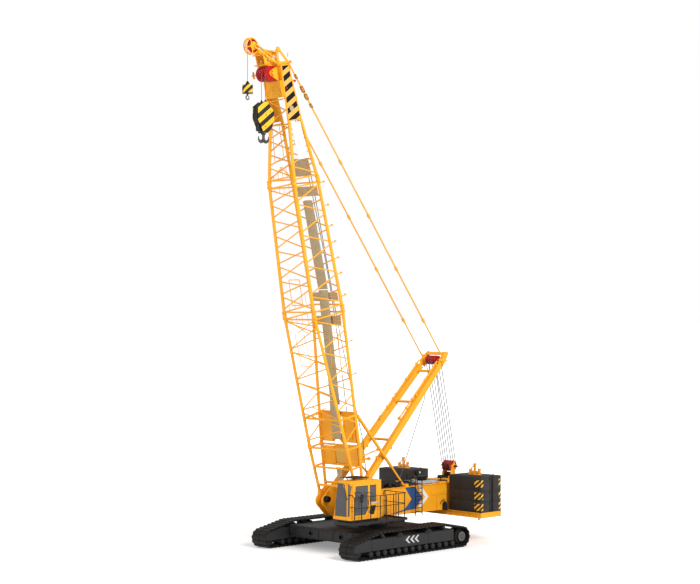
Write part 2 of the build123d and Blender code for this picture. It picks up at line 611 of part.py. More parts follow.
# winch in the foot of the boom
WINCH_S, WINCH_D, WINCH_R, WINCH_HALF, WINCH_FLANGE = 2950, -880, 300, 520, 80
with BuildPart() as winch_cheeks:
    low, high = WINCH_S - 420, WINCH_S + 420
    for y in (-WINCH_HALF - RUN - 40, WINCH_HALF + RUN):
        with BuildSketch(boom_side(y)):
            with BuildLine():
                Polyline((low, -half_sizes(low)[1] - PORTAL_PLATE / 2 - 1),
                         (high, -half_sizes(high)[1] - PORTAL_PLATE / 2 - 1),
                         (high, WINCH_D - 420), (low, WINCH_D - 420), close=True)
            make_face()
        extrude(amount=40)
save(winch_cheeks, "boom_winch_frame")
with BuildPart() as boom_winch:
    for y, r, length in ((-WINCH_HALF, WINCH_R + WINCH_FLANGE, 30),
                         (-WINCH_HALF + 30, WINCH_R, 2 * WINCH_HALF - 60),
                         (WINCH_HALF - 30, WINCH_R + WINCH_FLANGE, 30)):
        with BuildSketch(boom_side(y)):
            with Locations((WINCH_S, WINCH_D)):
                Circle(r)
        extrude(amount=length)
save(boom_winch, "boom_winch_drum")

# head of the boom: side plates with a lug on top, plates across and the cheeks that
# carry the axle of the hoist sheaves
SHEAVE_S, SHEAVE_D, SHEAVE_R, SHEAVE_HALF = 25515, 790, 425, 430
head_s, _, head_rear, head_front = STATIONS["head"]
top_s, top_half, top_rear, top_front = STATIONS["top"]
HEAD_PLATE = 40
AXLE_R, CHEEK_R = 90, 160
with BuildPart() as head_plates:
    for low in (top_half - HEAD_PLATE, -top_half):
        with BuildSketch(boom_side(low)):
            with BuildLine():
                Polyline((head_s + GAP, head_front + CHORD_R), (top_s - 60, top_front),
                         (top_s - 60, 550), (top_s + 60, 550), (top_s + 960, 440),
                         (top_s + 960, 280), (top_s + 60, -top_rear - 50),
                         (top_s - 60, -top_rear - 50), (top_s - 60, -top_rear),
                         (head_s + GAP, -head_rear - CHORD_R), close=True)
            make_face()
            with BuildLine():
                Polyline((top_s + 130, -140), (top_s + 130, 400), (top_s + 800, 350), close=True)
            make_face(mode=Mode.SUBTRACT)
        extrude(amount=HEAD_PLATE)
    inside = top_half - HEAD_PLATE - GAP
    # columns: s from and to, and d of the plates across
    for s0, s1, d in ((24100, 25050, 400), (25000, top_s - 60, 250), (top_s - 500, top_s, -200)):
        with BuildSketch(boom_side(-inside)):
            with Locations(((s0 + s1) / 2, d)):
                Rectangle(s1 - s0, 60)
        extrude(amount=2 * inside)
    for low in (SHEAVE_HALF + RUN, -SHEAVE_HALF - RUN - HEAD_PLATE):
        with BuildSketch(boom_side(low)):
            hull(((SHEAVE_S, SHEAVE_D, CHEEK_R), (25120, 340, 80), (top_s - 150, 340, 80)))
        extrude(amount=HEAD_PLATE)
    half = SHEAVE_HALF + HEAD_PLATE + 80
    with BuildSketch(boom_side(-half)):
        with Locations((SHEAVE_S, SHEAVE_D)):
            Circle(AXLE_R)
    extrude(amount=2 * half)
save(head_plates, "boom_head_plates")
with BuildPart() as head_sheaves:
    with BuildSketch(boom_side(-SHEAVE_HALF)):
        with Locations((SHEAVE_S, SHEAVE_D)):
            Circle(SHEAVE_R)
            Circle(AXLE_R + PIN_PLAY, mode=Mode.SUBTRACT)
    extrude(amount=2 * SHEAVE_HALF)
save(head_sheaves, "head_sheaves")

# frame of the auxiliary sheave, ahead of the head, with a spoked guard ring on each
# side of the sheave
AUX_S, AUX_D, AUX_R, AUX_HALF = 27180, 1470, 380, 60
GUARD_R, GUARD_D, GUARD_BAR, GUARD_PLATE = 480, AUX_D + 150, 60, 30
with BuildPart() as jib_frame:
    for hand in (1, -1):
        # columns: s and d where a tube meets the head, its radius, s and d of its far end
        for s, d, r, tip_s, tip_d in ((top_s + 50, 460, 60, AUX_S - 60, AUX_D),
                                      (top_s + 50, 200, 50, AUX_S + 60, AUX_D - 150)):
            tip_y = AUX_HALF + RUN + GUARD_PLATE + GAP
            run = boom(tip_s, tip_d, tip_y + r) - boom(s, d, top_half - HEAD_PLATE - r)
            end_half = r * hypot(run.X, run.Z) / run.length
            rod(boom(s, d, hand * (top_half - HEAD_PLATE - end_half - GAP)),
                boom(tip_s, tip_d, hand * (tip_y + end_half)), r)
    for low in (AUX_HALF + RUN, -AUX_HALF - RUN - GUARD_PLATE):
        with BuildSketch(boom_side(low)):
            with Locations((AUX_S, GUARD_D)):
                Circle(GUARD_R)
                Circle(GUARD_R - GUARD_BAR, mode=Mode.SUBTRACT)
                Rectangle(2 * GUARD_R - GUARD_BAR, GUARD_BAR)
                Rectangle(GUARD_BAR, 2 * GUARD_R - GUARD_BAR)
            with Locations((AUX_S, AUX_D)):
                Circle(240)
        extrude(amount=GUARD_PLATE)
save(jib_frame, "jib_frame")
with BuildPart() as aux_sheave:
    with BuildSketch(boom_side(-AUX_HALF)):
        with Locations((AUX_S, AUX_D)):
            Circle(AUX_R)
    extrude(amount=2 * AUX_HALF)
save(aux_sheave, "aux_sheave")

# walkway of mesh inside the rear face, on its lacing
# columns: s from and to, half width
WALK_STRIPS = ((6000, 10350, 270), (10650, 11150, 1100), (12050, 12550, 1100), (12800, 18000, 270),
               (18250, 18800, 950), (19450, 20450, 700))
with BuildPart() as boom_walkway:
    for s0, s1, half in WALK_STRIPS:
        with BuildSketch(rear_plane(s0, s1, LACE_R + GAP)):
            with Locations(((s1 - s0) / 2, 0)):
                Rectangle(s1 - s0, 2 * half)
        extrude(amount=30)
save(boom_walkway, "boom_walkway")

BOARD_FROM, BOARD_TO, BOARD_WIDTH, BOARD_THICK, BOARD_D = 20500, 22600, 700, 20, -80
with BuildPart() as board:
    start, end = (boom(s, BOARD_D, half_sizes(s)[0] + LACE_R + GAP + BOARD_THICK / 2)
                  for s in (BOARD_FROM, BOARD_TO))
    beam(start, end, BOARD_THICK, BOARD_WIDTH)
save(board, "side_board")

with BuildPart() as backstops:
    for hand in (1, -1):
        half_width, half_depth = half_sizes(STOP_HEAD_S)
        head = boom(STOP_HEAD_S, -half_depth - CHORD_R - STOP_R * STOP_LEAN - GAP, hand * half_width)
        seat = Vector(SLEW_X + STOP_SEAT_X, hand * STOP_SEAT_Y, GIRDER_TOP + 110)
        along = seat - head
        rod(head, head + along * 0.74, STOP_R)
        rod(head + along * 0.74, seat, STOP_ROD_R)
save(backstops, "backstops")

# ------------------------------------------------------------------------- mast
mast_taper = (MAST_FOOT_Y - MAST_TIP_Y) / MAST_LENGTH


def mast_y(m):
    return MAST_FOOT_Y - mast_taper * m


LEG_FROM, LEG_TO = 420, MAST_LENGTH - 500
with BuildPart() as mast_legs:
    for hand in (1, -1):
        beam(mast(LEG_FROM, 0, hand * mast_y(LEG_FROM)), mast(LEG_TO, 0, hand * mast_y(LEG_TO)),
             MAST_LEG_WIDTH, MAST_LEG_DEPTH)
        y = hand * (NOSE_INNER_Y + nose_outer_y) / 2
        pivot = PIVOT - MAST_ORIGIN
        lean = mast_taper * (mast_y(LEG_FROM) - abs(y) + MAST_LUG / 2)
        low = LEG_FROM - 2 * GAP - lean
        with BuildSketch(mast_side(y - MAST_LUG / 2)):
            hull(((pivot.dot(MAST_U), pivot.dot(MAST_D), 230), (low - 60, 100, 60),
                  (low - 60, -100, 60)))
        extrude(amount=MAST_LUG)
        rod(PIVOT + Vector(0, hand * (abs(y) - MAST_LUG / 2 - GAP), 0),
            PIVOT + Vector(0, hand * (NOSE_INNER_Y - NOSE_PLATE / 2 - 20), 0), PIVOT_R)
    for m in MAST_CROSS_PLACES:
        y = mast_y(m + MAST_CROSS_R) - MAST_LEG_WIDTH / 2 - 2 * GAP
        rod(mast(m, 0, -y), mast(m, 0, y), MAST_CROSS_R)
save(mast_legs, "mast_legs")

MAST_PLATE, MAST_AXLE_R = 40, 80
mast_inside = top_half - MAST_PLATE - GAP
plate_foot = LEG_TO + 2 * GAP + mast_taper * (top_half - mast_y(LEG_TO))
with BuildPart() as mast_head:
    for low in (top_half - MAST_PLATE, -top_half):
        with BuildSketch(mast_side(low)):
            hull(((plate_foot + 150, 0, 150), (MAST_LENGTH, 0, 260), (MAST_LENGTH + 560, 20, 130)))
        extrude(amount=MAST_PLATE)
    rod(mast(MAST_LENGTH + 480, 60, -mast_inside), mast(MAST_LENGTH + 480, 60, mast_inside),
        MAST_AXLE_R)
    for hand in (1, -1):
        rod(mast(MAST_LENGTH, 0, hand * (MAST_SHEAVE_HALF + RUN)),
            mast(MAST_LENGTH, 0, hand * mast_inside), MAST_AXLE_R)
save(mast_head, "mast_head")
with BuildPart() as mast_sheaves:
    with BuildSketch(mast_side(-MAST_SHEAVE_HALF)):
        with Locations((MAST_LENGTH, 0)):
            Circle(MAST_SHEAVE_R)
    extrude(amount=2 * MAST_SHEAVE_HALF)
save(mast_sheaves, "mast_sheaves")
with BuildPart() as pendants:
    for hand in (1, -1):
        y = hand * (top_half + PENDANT_R + GAP)
        rod(boom(25940, -250, y), mast(MAST_LENGTH + 60, -20, y), PENDANT_R)
save(pendants, "pendants")

# ------------------------------------------------------------------------ hooks
axle = boom(SHEAVE_S, SHEAVE_D, 0)
HOOK_Y, FALL_SPACING, ROPE_R = 250, 160, 14
BLOCK_TOP, BLOCK_HEIGHT, BLOCK_WIDTH, BLOCK_HALF = 25740, 1740, 1180, 250
fall_x = axle.X + SHEAVE_R + ROPE_R + GAP
with BuildPart() as falls:
    for y in (HOOK_Y - FALL_SPACING, HOOK_Y + FALL_SPACING):
        rod(Vector(fall_x, y, BLOCK_TOP + GAP), Vector(fall_x, y, axle.Z), ROPE_R)
save(falls, "main_falls")
with BuildPart() as hook_block:
    with BuildSketch(Plane(origin=(fall_x, HOOK_Y + BLOCK_HALF, 0), x_dir=(1, 0, 0), z_dir=(0, -1, 0))):
        with BuildLine():
            Polyline((-260, BLOCK_TOP), (260, BLOCK_TOP), (BLOCK_WIDTH / 2, BLOCK_TOP - 400),
                     (BLOCK_WIDTH / 2, BLOCK_TOP - 1000), (260, BLOCK_TOP - BLOCK_HEIGHT),
                     (-260, BLOCK_TOP - BLOCK_HEIGHT), (-BLOCK_WIDTH / 2, BLOCK_TOP - 1000),
                     (-BLOCK_WIDTH / 2, BLOCK_TOP - 400), close=True)
        make_face()
    extrude(amount=2 * BLOCK_HALF)
save(hook_block, "main_hook_block")
hook_top = BLOCK_TOP - BLOCK_HEIGHT - RUN
with BuildPart() as main_hook:
    with Locations((fall_x, HOOK_Y, hook_top)):
        Cylinder(70, 300, align=(Align.CENTER, Align.CENTER, Align.MAX))
    for hand in (1, -1):
        with Locations(Plane(origin=(fall_x + hand * 170, HOOK_Y, hook_top - 300),
                             x_dir=(-hand, 0, 0), z_dir=(0, -hand, 0))):
            Torus(170, 70, major_angle=215, align=None)
save(main_hook, "main_hook")

aux_axle = boom(AUX_S, AUX_D, 0)
aux_x = aux_axle.X + AUX_R + ROPE_R + GAP
AUX_BLOCK_TOP, AUX_BLOCK_LOW, AUX_BLOCK_R = 26870, 26160, 300
with BuildPart() as aux_rope:
    rod(Vector(aux_x, 0, AUX_BLOCK_TOP + GAP), Vector(aux_x, 0, aux_axle.Z), ROPE_R)
save(aux_rope, "aux_rope")
with BuildPart() as aux_block:
    with Locations((aux_x, 0, AUX_BLOCK_LOW)):
        Cylinder(AUX_BLOCK_R, 480, align=LOW)
        with Locations((0, 0, 480)):
            Cone(120, 30, AUX_BLOCK_TOP - AUX_BLOCK_LOW - 480, align=LOW)
save(aux_block, "aux_hook_block")
with BuildPart() as aux_hook:
    with Locations((aux_x, 0, AUX_BLOCK_LOW - RUN)):
        Cylinder(35, 120, align=(Align.CENTER, Align.CENTER, Align.MAX))
    with Locations(Plane(origin=(aux_x, 0, AUX_BLOCK_LOW - 215), z_dir=(0, 1, 0))):
        Torus(110, 38)
save(aux_hook, "aux_hook")
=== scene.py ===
import json
from math import asin, atan2, cos, hypot, pi, radians, sin, tau

import bmesh
import bpy
from mathutils import Matrix, Vector


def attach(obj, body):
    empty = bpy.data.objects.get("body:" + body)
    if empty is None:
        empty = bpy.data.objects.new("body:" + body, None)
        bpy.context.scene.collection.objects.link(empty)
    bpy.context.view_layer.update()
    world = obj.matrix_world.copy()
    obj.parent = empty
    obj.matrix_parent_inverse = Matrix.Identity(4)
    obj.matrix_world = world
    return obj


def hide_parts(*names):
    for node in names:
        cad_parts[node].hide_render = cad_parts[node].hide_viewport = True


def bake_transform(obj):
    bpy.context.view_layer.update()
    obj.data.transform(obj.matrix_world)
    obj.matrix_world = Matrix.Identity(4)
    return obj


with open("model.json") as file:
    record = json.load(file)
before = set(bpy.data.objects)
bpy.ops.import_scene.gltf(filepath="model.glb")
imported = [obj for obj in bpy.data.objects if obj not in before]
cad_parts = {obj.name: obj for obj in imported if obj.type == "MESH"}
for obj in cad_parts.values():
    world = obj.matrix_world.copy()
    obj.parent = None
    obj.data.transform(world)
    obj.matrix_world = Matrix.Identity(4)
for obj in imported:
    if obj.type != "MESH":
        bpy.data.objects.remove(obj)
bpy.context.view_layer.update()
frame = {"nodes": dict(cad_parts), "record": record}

# ------------------------------------------------------------------ places
# Metres, +X forward, +Y left, +Z up.  A plain (x, y, z) counts X from the slewing axis;
# a Vector is a place in the frame itself.
SLEW_X = -0.642
AHEAD, ACROSS = Vector((1, 0, 0)), Vector((0, 1, 0))
BOTH = (1, -1)
UNDER, SUPER, BOOM, MAST = "undercarriage", "superstructure", "boom", "mast"


def at(x, y, z):
    return Vector((SLEW_X + x, y, z))


def spot(place):
    return place if isinstance(place, Vector) else at(*place)


def leaning(degrees):
    """Directions along and ahead of a frame that leans at this angle."""
    angle = radians(degrees)
    return Vector((cos(angle), 0, sin(angle))), Vector((sin(angle), 0, -cos(angle)))


BOOM_UP, BOOM_AHEAD = leaning(78.363)
MAST_UP, MAST_AHEAD = leaning(135.02)
BOOM_START, MAST_START = at(1.478, 0, 2.551), at(1.96, 0, 2.75)
MAST_LENGTH = 11.53
# columns: place along the boom, half width, depth to the rear and to the front, all to
# the middles of the chords
BOOM_STATIONS = (
    (0.900, 1.575, 0.270, 0.270), (3.600, 1.600, 0.486, 0.486), (11.612, 1.271, 1.127, 1.127),
    (19.232, 1.083, 0.905, 0.905), (22.700, 0.800, 0.560, 0.350), (25.950, 0.800, 0.290, 0.340),
)


def on_boom(s, d, y):
    return BOOM_START + BOOM_UP * s + BOOM_AHEAD * d + ACROSS * y


def on_mast(m, d, y):
    return MAST_START + MAST_UP * m + MAST_AHEAD * d + ACROSS * y


def mast_half(m):
    """Half width of the mast, to the middles of its legs."""
    return 1.18 - 0.43 * m / MAST_LENGTH


def boom_size(s):
    """Half width of the boom at s, its depth to the rear and to the front."""
    for low, high in zip(BOOM_STATIONS, BOOM_STATIONS[1:]):
        if s <= high[0]:
            break
    share = (s - low[0]) / (high[0] - low[0])
    return tuple(a + (b - a) * share for a, b in zip(low[1:], high[1:]))


def corner(s, front, left, out=0.0):
    """Place on a chord's middle at s, or out from it towards the outside."""
    width, rear, ahead = boom_size(s)
    return on_boom(s, ahead + out if front > 0 else -rear - out, left * (width + out))


def seat(origin, x_axis, z_axis):
    """Matrix that puts a flat drawing's x along x_axis and its z along z_axis."""
    x_axis, z_axis = x_axis.normalized(), z_axis.normalized()
    turn = Matrix((x_axis, z_axis.cross(x_axis), z_axis)).transposed().to_4x4()
    return Matrix.Translation(origin) @ turn


def side_of(place, hand=1):
    """Seat on an upright face: z points to the left, or to the right with hand -1."""
    return seat(spot(place), AHEAD, ACROSS * hand)


def upright(place):
    return Matrix.Translation(spot(place))


def about(middle, half):
    return middle - half, middle + half


def polar(radius, angle, x=0.0, y=0.0):
    return x + radius * cos(angle), y + radius * sin(angle)


BOOM_FLAT = seat(BOOM_START, BOOM_UP, BOOM_AHEAD)

# ------------------------------------------------------------- mesh makers
work = bmesh.new()  # the open mesh: every maker adds to it and piece() closes it


def tube(start, end, radius, sides=10, end_radius=None):
    start, end = spot(start), spot(end)
    turn = (end - start).to_track_quat("Z", "Y").to_matrix().to_4x4()
    bmesh.ops.create_cone(
        work, cap_ends=True, segments=sides, radius1=radius,
        radius2=radius if end_radius is None else end_radius,
        depth=(end - start).length, matrix=Matrix.Translation((start + end) / 2) @ turn,
    )


def cross_bar(place, y0, y1, radius, sides=10, end_radius=None):
    """Tube across the machine, from y0 to y1 beside a place."""
    place = spot(place)
    tube(place + ACROSS * y0, place + ACROSS * y1, radius, sides, end_radius)


def brick(xs, ys, zs, edge=0.0, place=None):
    """Block between two x, two y and two z, its edges rounded, in a place's own axes."""
    low, high = (Vector([pick(ends) for ends in (xs, ys, zs)]) for pick in (min, max))
    place = upright((0, 0, 0)) if place is None else place
    size = Matrix.Diagonal((*(high - low), 1))
    made = bmesh.ops.create_cube(work, size=1, matrix=place @ Matrix.Translation((low + high) / 2) @ size)
    if edge:
        edges = list(dict.fromkeys(e for v in made["verts"] for e in v.link_edges))
        bmesh.ops.bevel(work, geom=edges, offset=edge, affect="EDGES", segments=2, profile=0.5,
                        material=-1, clamp_overlap=True)


def pair(xs, ys, zs, edge=0.0):
    """The same block on the left side and mirrored on the right."""
    for hand in BOTH:
        brick(xs, [hand * y for y in ys], zs, edge)


def beam(start, end, width, depth, edge=0.0, width_axis=ACROSS):
    """Rectangular bar from one point to another."""
    run = end - start
    place = seat(start, run.cross(width_axis).normalized().cross(run), run)
    brick(about(0, width / 2), about(0, depth / 2), (0, run.length), edge, place)


def plate(place, outline, thick, holes=()):
    """Flat plate with holes: outlines are given in the place's own x and y."""
    edges = []
    for loop in (outline, *holes):
        ends = [work.verts.new(place @ Vector((x, y, 0))) for x, y in loop]
        edges += [work.edges.new(two) for two in zip(ends, ends[1:] + ends[:1])]
    filled = bmesh.ops.triangle_fill(work, edges=edges, use_beauty=True, use_dissolve=True)
    faces = [f for f in filled["geom"] if isinstance(f, bmesh.types.BMFace)]
    grown = bmesh.ops.extrude_face_region(work, geom=faces)["geom"]
    moved = [v for v in grown if isinstance(v, bmesh.types.BMVert)]
    bmesh.ops.translate(work, verts=moved, vec=place.to_3x3() @ Vector((0, 0, thick)))
    made = [f for v in moved for f in v.link_faces] + [f for f in faces if f.is_valid]
    bmesh.ops.recalc_face_normals(work, faces=list(dict.fromkeys(made)))


def side_plate(y, hand, outline, thick):
    """Plate on the upright face at y of one side, drawn in X and Z."""
    plate(side_of((0, hand * y, 0), hand), [(x, -hand * z) for x, z in outline], thick)


def turned(place, profile, steps=28, ring=False):
    """Turned shape: the profile's radii and heights are spun round the place's z."""
    points = [work.verts.new(place @ Vector((r, 0, h))) for r, h in profile]
    pairs = list(zip(points, points[1:])) + ([(points[-1], points[0])] if ring else [])
    edges = [work.edges.new(two) for two in pairs]
    known = len(work.verts)
    bmesh.ops.spin(
        work, geom=points + edges, cent=place.translation, axis=place.to_3x3() @ Vector((0, 0, 1)),
        angle=tau, steps=steps, use_merge=True,
    )
    work.verts.ensure_lookup_table()
    made = dict.fromkeys(v for v in points + work.verts[known:] if v.is_valid)
    bmesh.ops.remove_doubles(work, verts=list(made), dist=0.0004)


def bent_bar(points, radius, closed=False):
    """Round bar along a few points, with a ball at each bend."""
    points = [spot(p) for p in points]
    points += points[:1] if closed else []
    for start, end in zip(points, points[1:]):
        tube(start, end, radius, 6)
    for point in points[1:-1]:
        bmesh.ops.create_icosphere(work, subdivisions=1, radius=radius, matrix=upright(point))


def smooth_line(points, steps=6):
    """Points of a smooth curve through the given ones."""
    ends = [points[0] * 2 - points[1], *points, points[-1] * 2 - points[-2]]
    made = []
    for p0, p1, p2, p3 in zip(ends, ends[1:], ends[2:], ends[3:]):
        for t in (k / steps for k in range(steps)):
            made.append(0.5 * (2 * p1 + (p2 - p0) * t + (2 * p0 - 5 * p1 + 4 * p2 - p3) * t * t
                               + (3 * p1 - p0 - 3 * p2 + p3) * t ** 3))
    return made + [points[-1]]


def swept(points, radius, sides=8):
    """Round bar along a line, its radius the same or one for each point."""
    points = [spot(p) for p in points]
    radii = radius if isinstance(radius, list) else [radius] * len(points)
    rings = []
    side = None
    for i, (point, r) in enumerate(zip(points, radii)):
        ahead = (points[min(i + 1, len(points) - 1)] - points[max(i - 1, 0)]).normalized()
        side = side or ahead.orthogonal().normalized()
        side = (side - ahead * side.dot(ahead)).normalized()
        other = ahead.cross(side)
        turns = (tau * k / sides for k in range(sides))
        rings.append([work.verts.new(point + (side * cos(t) + other * sin(t)) * r) for t in turns])
    for one, two in zip(rings, rings[1:]):
        for k in range(sides):
            work.faces.new((one[k - 1], one[k], two[k], two[k - 1]))
    work.faces.new(rings[0][::-1])
    work.faces.new(rings[-1])


def curve(points, radius, sides=8, steps=6):
    """Round bar along a smooth curve."""
    swept(smooth_line([spot(p) for p in points], steps), radius, sides)


def straight(start, end, steps):
    """Points along a straight line."""
    return [start.lerp(end, k / steps) for k in range(steps + 1)]


def grooved(radius, half, count, depth=0.05):
    """Profile of a pack of rope sheaves side by side."""
    width = 2 * half / count
    profile = [(0.08, -half)]
    for i in range(count):
        y = -half + i * width
        profile += [(radius, y + 0.004), (radius, y + width * 0.18), (radius - depth, y + width * 0.40),
                    (radius - depth, y + width * 0.60), (radius, y + width * 0.82),
                    (radius, y + width - 0.004), (radius - depth * 0.7, y + width)]
    return profile + [(0.08, half)]


def star(arm, waist, turn=0.0):
    """Outline of a star with four arms."""
    return [polar(waist if i % 2 else arm, turn + pi * i / 4) for i in range(8)]


def close_mesh(name):
    """Takes the open mesh as mesh data and opens the next one."""
    global work
    bmesh.ops.recalc_face_normals(work, faces=work.faces)
    mesh = bpy.data.meshes.new(name)
    work.to_mesh(mesh)
    work.free()
    work = bmesh.new()
    return mesh


def new_object(name, data):
    made = bpy.data.objects.new(name, data)
    bpy.context.scene.collection.objects.link(made)
    return made


def piece(name, finish, body, crease=35, instead_of=None):
    """Closes the open mesh as a piece that rides on a body and may stand for a CAD node."""
    mesh = close_mesh(name)
    mesh.materials.append(finish)
    mesh.shade_smooth()
    mesh.set_sharp_from_angle(angle=radians(crease))
    made = new_object(name, mesh)
    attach(made, body)
    if instead_of:
        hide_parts(instead_of)


def bending_rope(name):
    """Closes the open mesh as a rope that stays fixed in the frame."""
    mesh = close_mesh(name)
    mesh.materials.append(rope_dark)
    mesh.shade_smooth()
    made = new_object(name, mesh)
    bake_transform(made)


# ---------------------------------------------------------------- finishes
def feed(tree, made, *in_order, **by_name):
    """Links or sets a node's inputs, in their order or by name (_ stands for a blank)."""
    named = [(name.replace("_", " "), value) for name, value in by_name.items()]
    for key, value in [*enumerate(in_order), *named]:
        socket = made.inputs[key]
        if isinstance(value, bpy.types.NodeSocket):
            tree.links.new(value, socket)
        else:
            socket.default_value = (*value, 1) if socket.type == "RGBA" else value
    return made


def node(tree, kind, settings, *in_order, **by_name):
    made = tree.nodes.new("ShaderNode" + kind)
    for key, value in settings.items():
        setattr(made, key, value)
    return feed(tree, made, *in_order, **by_name)


def blank_finish(name):
    finish = bpy.data.materials.new(name)
    finish.use_nodes = True
    tree = finish.node_tree
    return finish, tree, tree.nodes["Principled BSDF"], node(tree, "TexCoord", {}).outputs["Object"]


def span(tree, value, low, high, to_low, to_high):
    """Part of a value's range, spread over another range."""
    return node(tree, "MapRange", {}, Value=value, From_Min=low, From_Max=high,
                To_Min=to_low, To_Max=to_high).outputs["Result"]


def cloud(tree, where, scale, low, high, to_low, to_high, detail=4, rough=0.55):
    """Noise, with its middle range spread over the given one."""
    made = node(tree, "TexNoise", {}, Vector=where, Scale=scale, Detail=detail, Roughness=rough)
    return span(tree, made.outputs["Fac"], low, high, to_low, to_high)


def two_colours(tree, share, one, other):
    return node(tree, "Mix", {"data_type": "RGBA"}, Factor=share, A=one, B=other).outputs["Result"]


def arithmetic(tree, operation, *values):
    return node(tree, "Math", {"operation": operation}, *values).outputs["Value"]


def bumps(tree, height, strength):
    return node(tree, "Bump", {}, Height=height, Strength=strength, Distance=0.01).outputs["Normal"]


def shaded(colour, share):
    return tuple(c * share for c in colour)


def paint(name, colour, roughness, coat, grime, grime_share, metal=0.0):
    """Sprayed paint: soft unevenness, a little grime in patches, faint orange peel."""
    finish, tree, shader, where = blank_finish(name)
    shade = two_colours(tree, cloud(tree, where, 0.9, 0.35, 0.65, 0, 1), shaded(colour, 0.9), colour)
    patches = cloud(tree, where, 5.5, 0.52, 0.78, 0, grime_share, 6, 0.7)
    peel = node(tree, "TexNoise", {}, Vector=where, Scale=60, Detail=3, Roughness=0.55)
    feed(tree, shader, Base_Color=two_colours(tree, patches, shade, grime),
         Roughness=cloud(tree, where, 7, 0.3, 0.7, roughness - 0.06, roughness + 0.1, 5),
         Normal=bumps(tree, peel.outputs["Fac"], 0.06), Coat_Weight=coat, Coat_Roughness=0.18,
         Specular_IOR_Level=0.2, Metallic=metal)
    return finish


def striped(name, light, dark, direction, pitch, share, shift=0.0):
    """Straight warning stripes; they repeat every pitch along the direction."""
    finish, tree, shader, where = blank_finish(name)
    along = node(tree, "VectorMath", {"operation": "DOT_PRODUCT"}, where,
                 Vector(direction).normalized() / pitch)
    fraction = arithmetic(tree, "FRACT", arithmetic(tree, "ADD", along.outputs["Value"], shift))
    worn = two_colours(tree, cloud(tree, where, 3, 0.4, 0.7, 0, 1), shaded(light, 0.93), light)
    edge = span(tree, fraction, share - 0.01, share + 0.01, 0, 1)
    feed(tree, shader, Base_Color=two_colours(tree, edge, dark, worn),
         Roughness=cloud(tree, where, 9, 0.3, 0.7, 0.34, 0.52, 5), Coat_Weight=0.0, Specular_IOR_Level=0.1)
    return finish


def open_mesh(name, colour, backing):
    """Expanded metal: fine diagonal bars with darker gaps between them."""
    finish, tree, shader, where = blank_finish(name)
    askew = node(tree, "Mapping", {}, Vector=where, Rotation=(radians(45), radians(45), 0))
    grid = node(tree, "TexBrick", {}, Vector=askew.outputs["Vector"], Scale=1 / 0.06, Mortar_Size=0.035,
                Brick_Width=0.9, Row_Height=0.5, Color1=backing, Color2=backing, Mortar=colour)
    shade = two_colours(tree, cloud(tree, where, 2, 0.3, 0.7, 0, 0.35), grid.outputs["Color"],
                        shaded(colour, 0.8))
    feed(tree, shader, Base_Color=shade, Roughness=0.55, Normal=bumps(tree, grid.outputs["Fac"], 0.3))
    return finish


def laid_rope(name, colour):
    """Wire rope: strands slant round it, steel with grease in the lay."""
    finish, tree, shader, where = blank_finish(name)
    wave = node(tree, "TexWave", {"wave_type": "BANDS", "bands_direction": "DIAGONAL"},
                Vector=where, Scale=1 / 0.09)
    feed(tree, shader, Base_Color=two_colours(tree, wave.outputs["Fac"], shaded(colour, 0.45), colour),
         Metallic=0.6, Roughness=cloud(tree, where, 12, 0.3, 0.7, 0.35, 0.6))
    return finish


def tinted_glass(name, colour):
    finish, tree, shader, where = blank_finish(name)
    shade = two_colours(tree, cloud(tree, where, 1.3, 0.35, 0.65, 0, 1), shaded(colour, 0.9), colour)
    feed(tree, shader, Base_Color=shade, Roughness=cloud(tree, where, 4, 0.3, 0.7, 0.16, 0.24),
         Specular_IOR_Level=0.15, Coat_Weight=0.03, Coat_Roughness=0.1)
    return finish


# columns after the name: colour, roughness, coat, colour of the grime and its share
body_yellow = paint("body_yellow_paint", (0.96, 0.40, 0.014), 0.40, 0.06, (0.42, 0.17, 0.02), 0.10)
boom_yellow = paint("boom_yellow_paint", (0.97, 0.43, 0.020), 0.42, 0.05, (0.5, 0.2, 0.02), 0.12)
ochre_yellow = paint("guard_ochre_paint", (0.80, 0.40, 0.03), 0.45, 0.02, (0.4, 0.2, 0.02), 0.2)
# paler copy of the yellow paint: painted light, laid over the head's cross plates where they lie in shade
painted_light_yellow = paint("painted_light_yellow_paint", (0.95, 0.72, 0.38), 0.5, 0.0, (0.7, 0.5, 0.2), 0.2)
ochre = paint("ochre_paint", (0.50, 0.24, 0.03), 0.45, 0.1, (0.2, 0.1, 0.03), 0.3)
chassis_grey = paint("chassis_grey_paint", (0.026, 0.026, 0.027), 0.50, 0.02, (0.05, 0.043, 0.034), 0.25)
black_paint = paint("black_paint", (0.009, 0.009, 0.010), 0.45, 0.03, (0.03, 0.027, 0.024), 0.2)
shoe_steel = paint("track_shoe_steel", (0.013, 0.012, 0.011), 0.50, 0.0, (0.06, 0.036, 0.018), 0.5)
weight_grey = paint("counterweight_paint", (0.030, 0.027, 0.025), 0.55, 0.02, (0.045, 0.038, 0.03), 0.25)
sheave_red = paint("sheave_red_plastic", (0.46, 0.006, 0.009), 0.36, 0.05, (0.12, 0.005, 0.006), 0.3)
tan_mesh = open_mesh("tan_walkway_mesh", (0.62, 0.50, 0.30), (0.36, 0.28, 0.15))
gold_mesh = open_mesh("gold_guard_mesh", (0.95, 0.60, 0.12), (0.70, 0.40, 0.06))
window_glass = tinted_glass("tinted_window_glass", (0.095, 0.095, 0.096))
rope_dark = paint("dark_rope_grease", (0.10, 0.10, 0.105), 0.6, 0.0, (0.2, 0.2, 0.2), 0.3)
rope_wire = laid_rope("greased_wire_rope", (0.16, 0.16, 0.165))
forged = paint("forged_hook_steel", (0.075, 0.075, 0.08), 0.42, 0.0, (0.03, 0.025, 0.02), 0.4, 0.7)
bare_steel = paint("bright_steel", (0.55, 0.56, 0.58), 0.28, 0.0, (0.3, 0.28, 0.26), 0.2, 0.9)
silver_panel = paint("silver_panel_paint", (0.50, 0.51, 0.54), 0.35, 0.1, (0.4, 0.4, 0.4), 0.2)
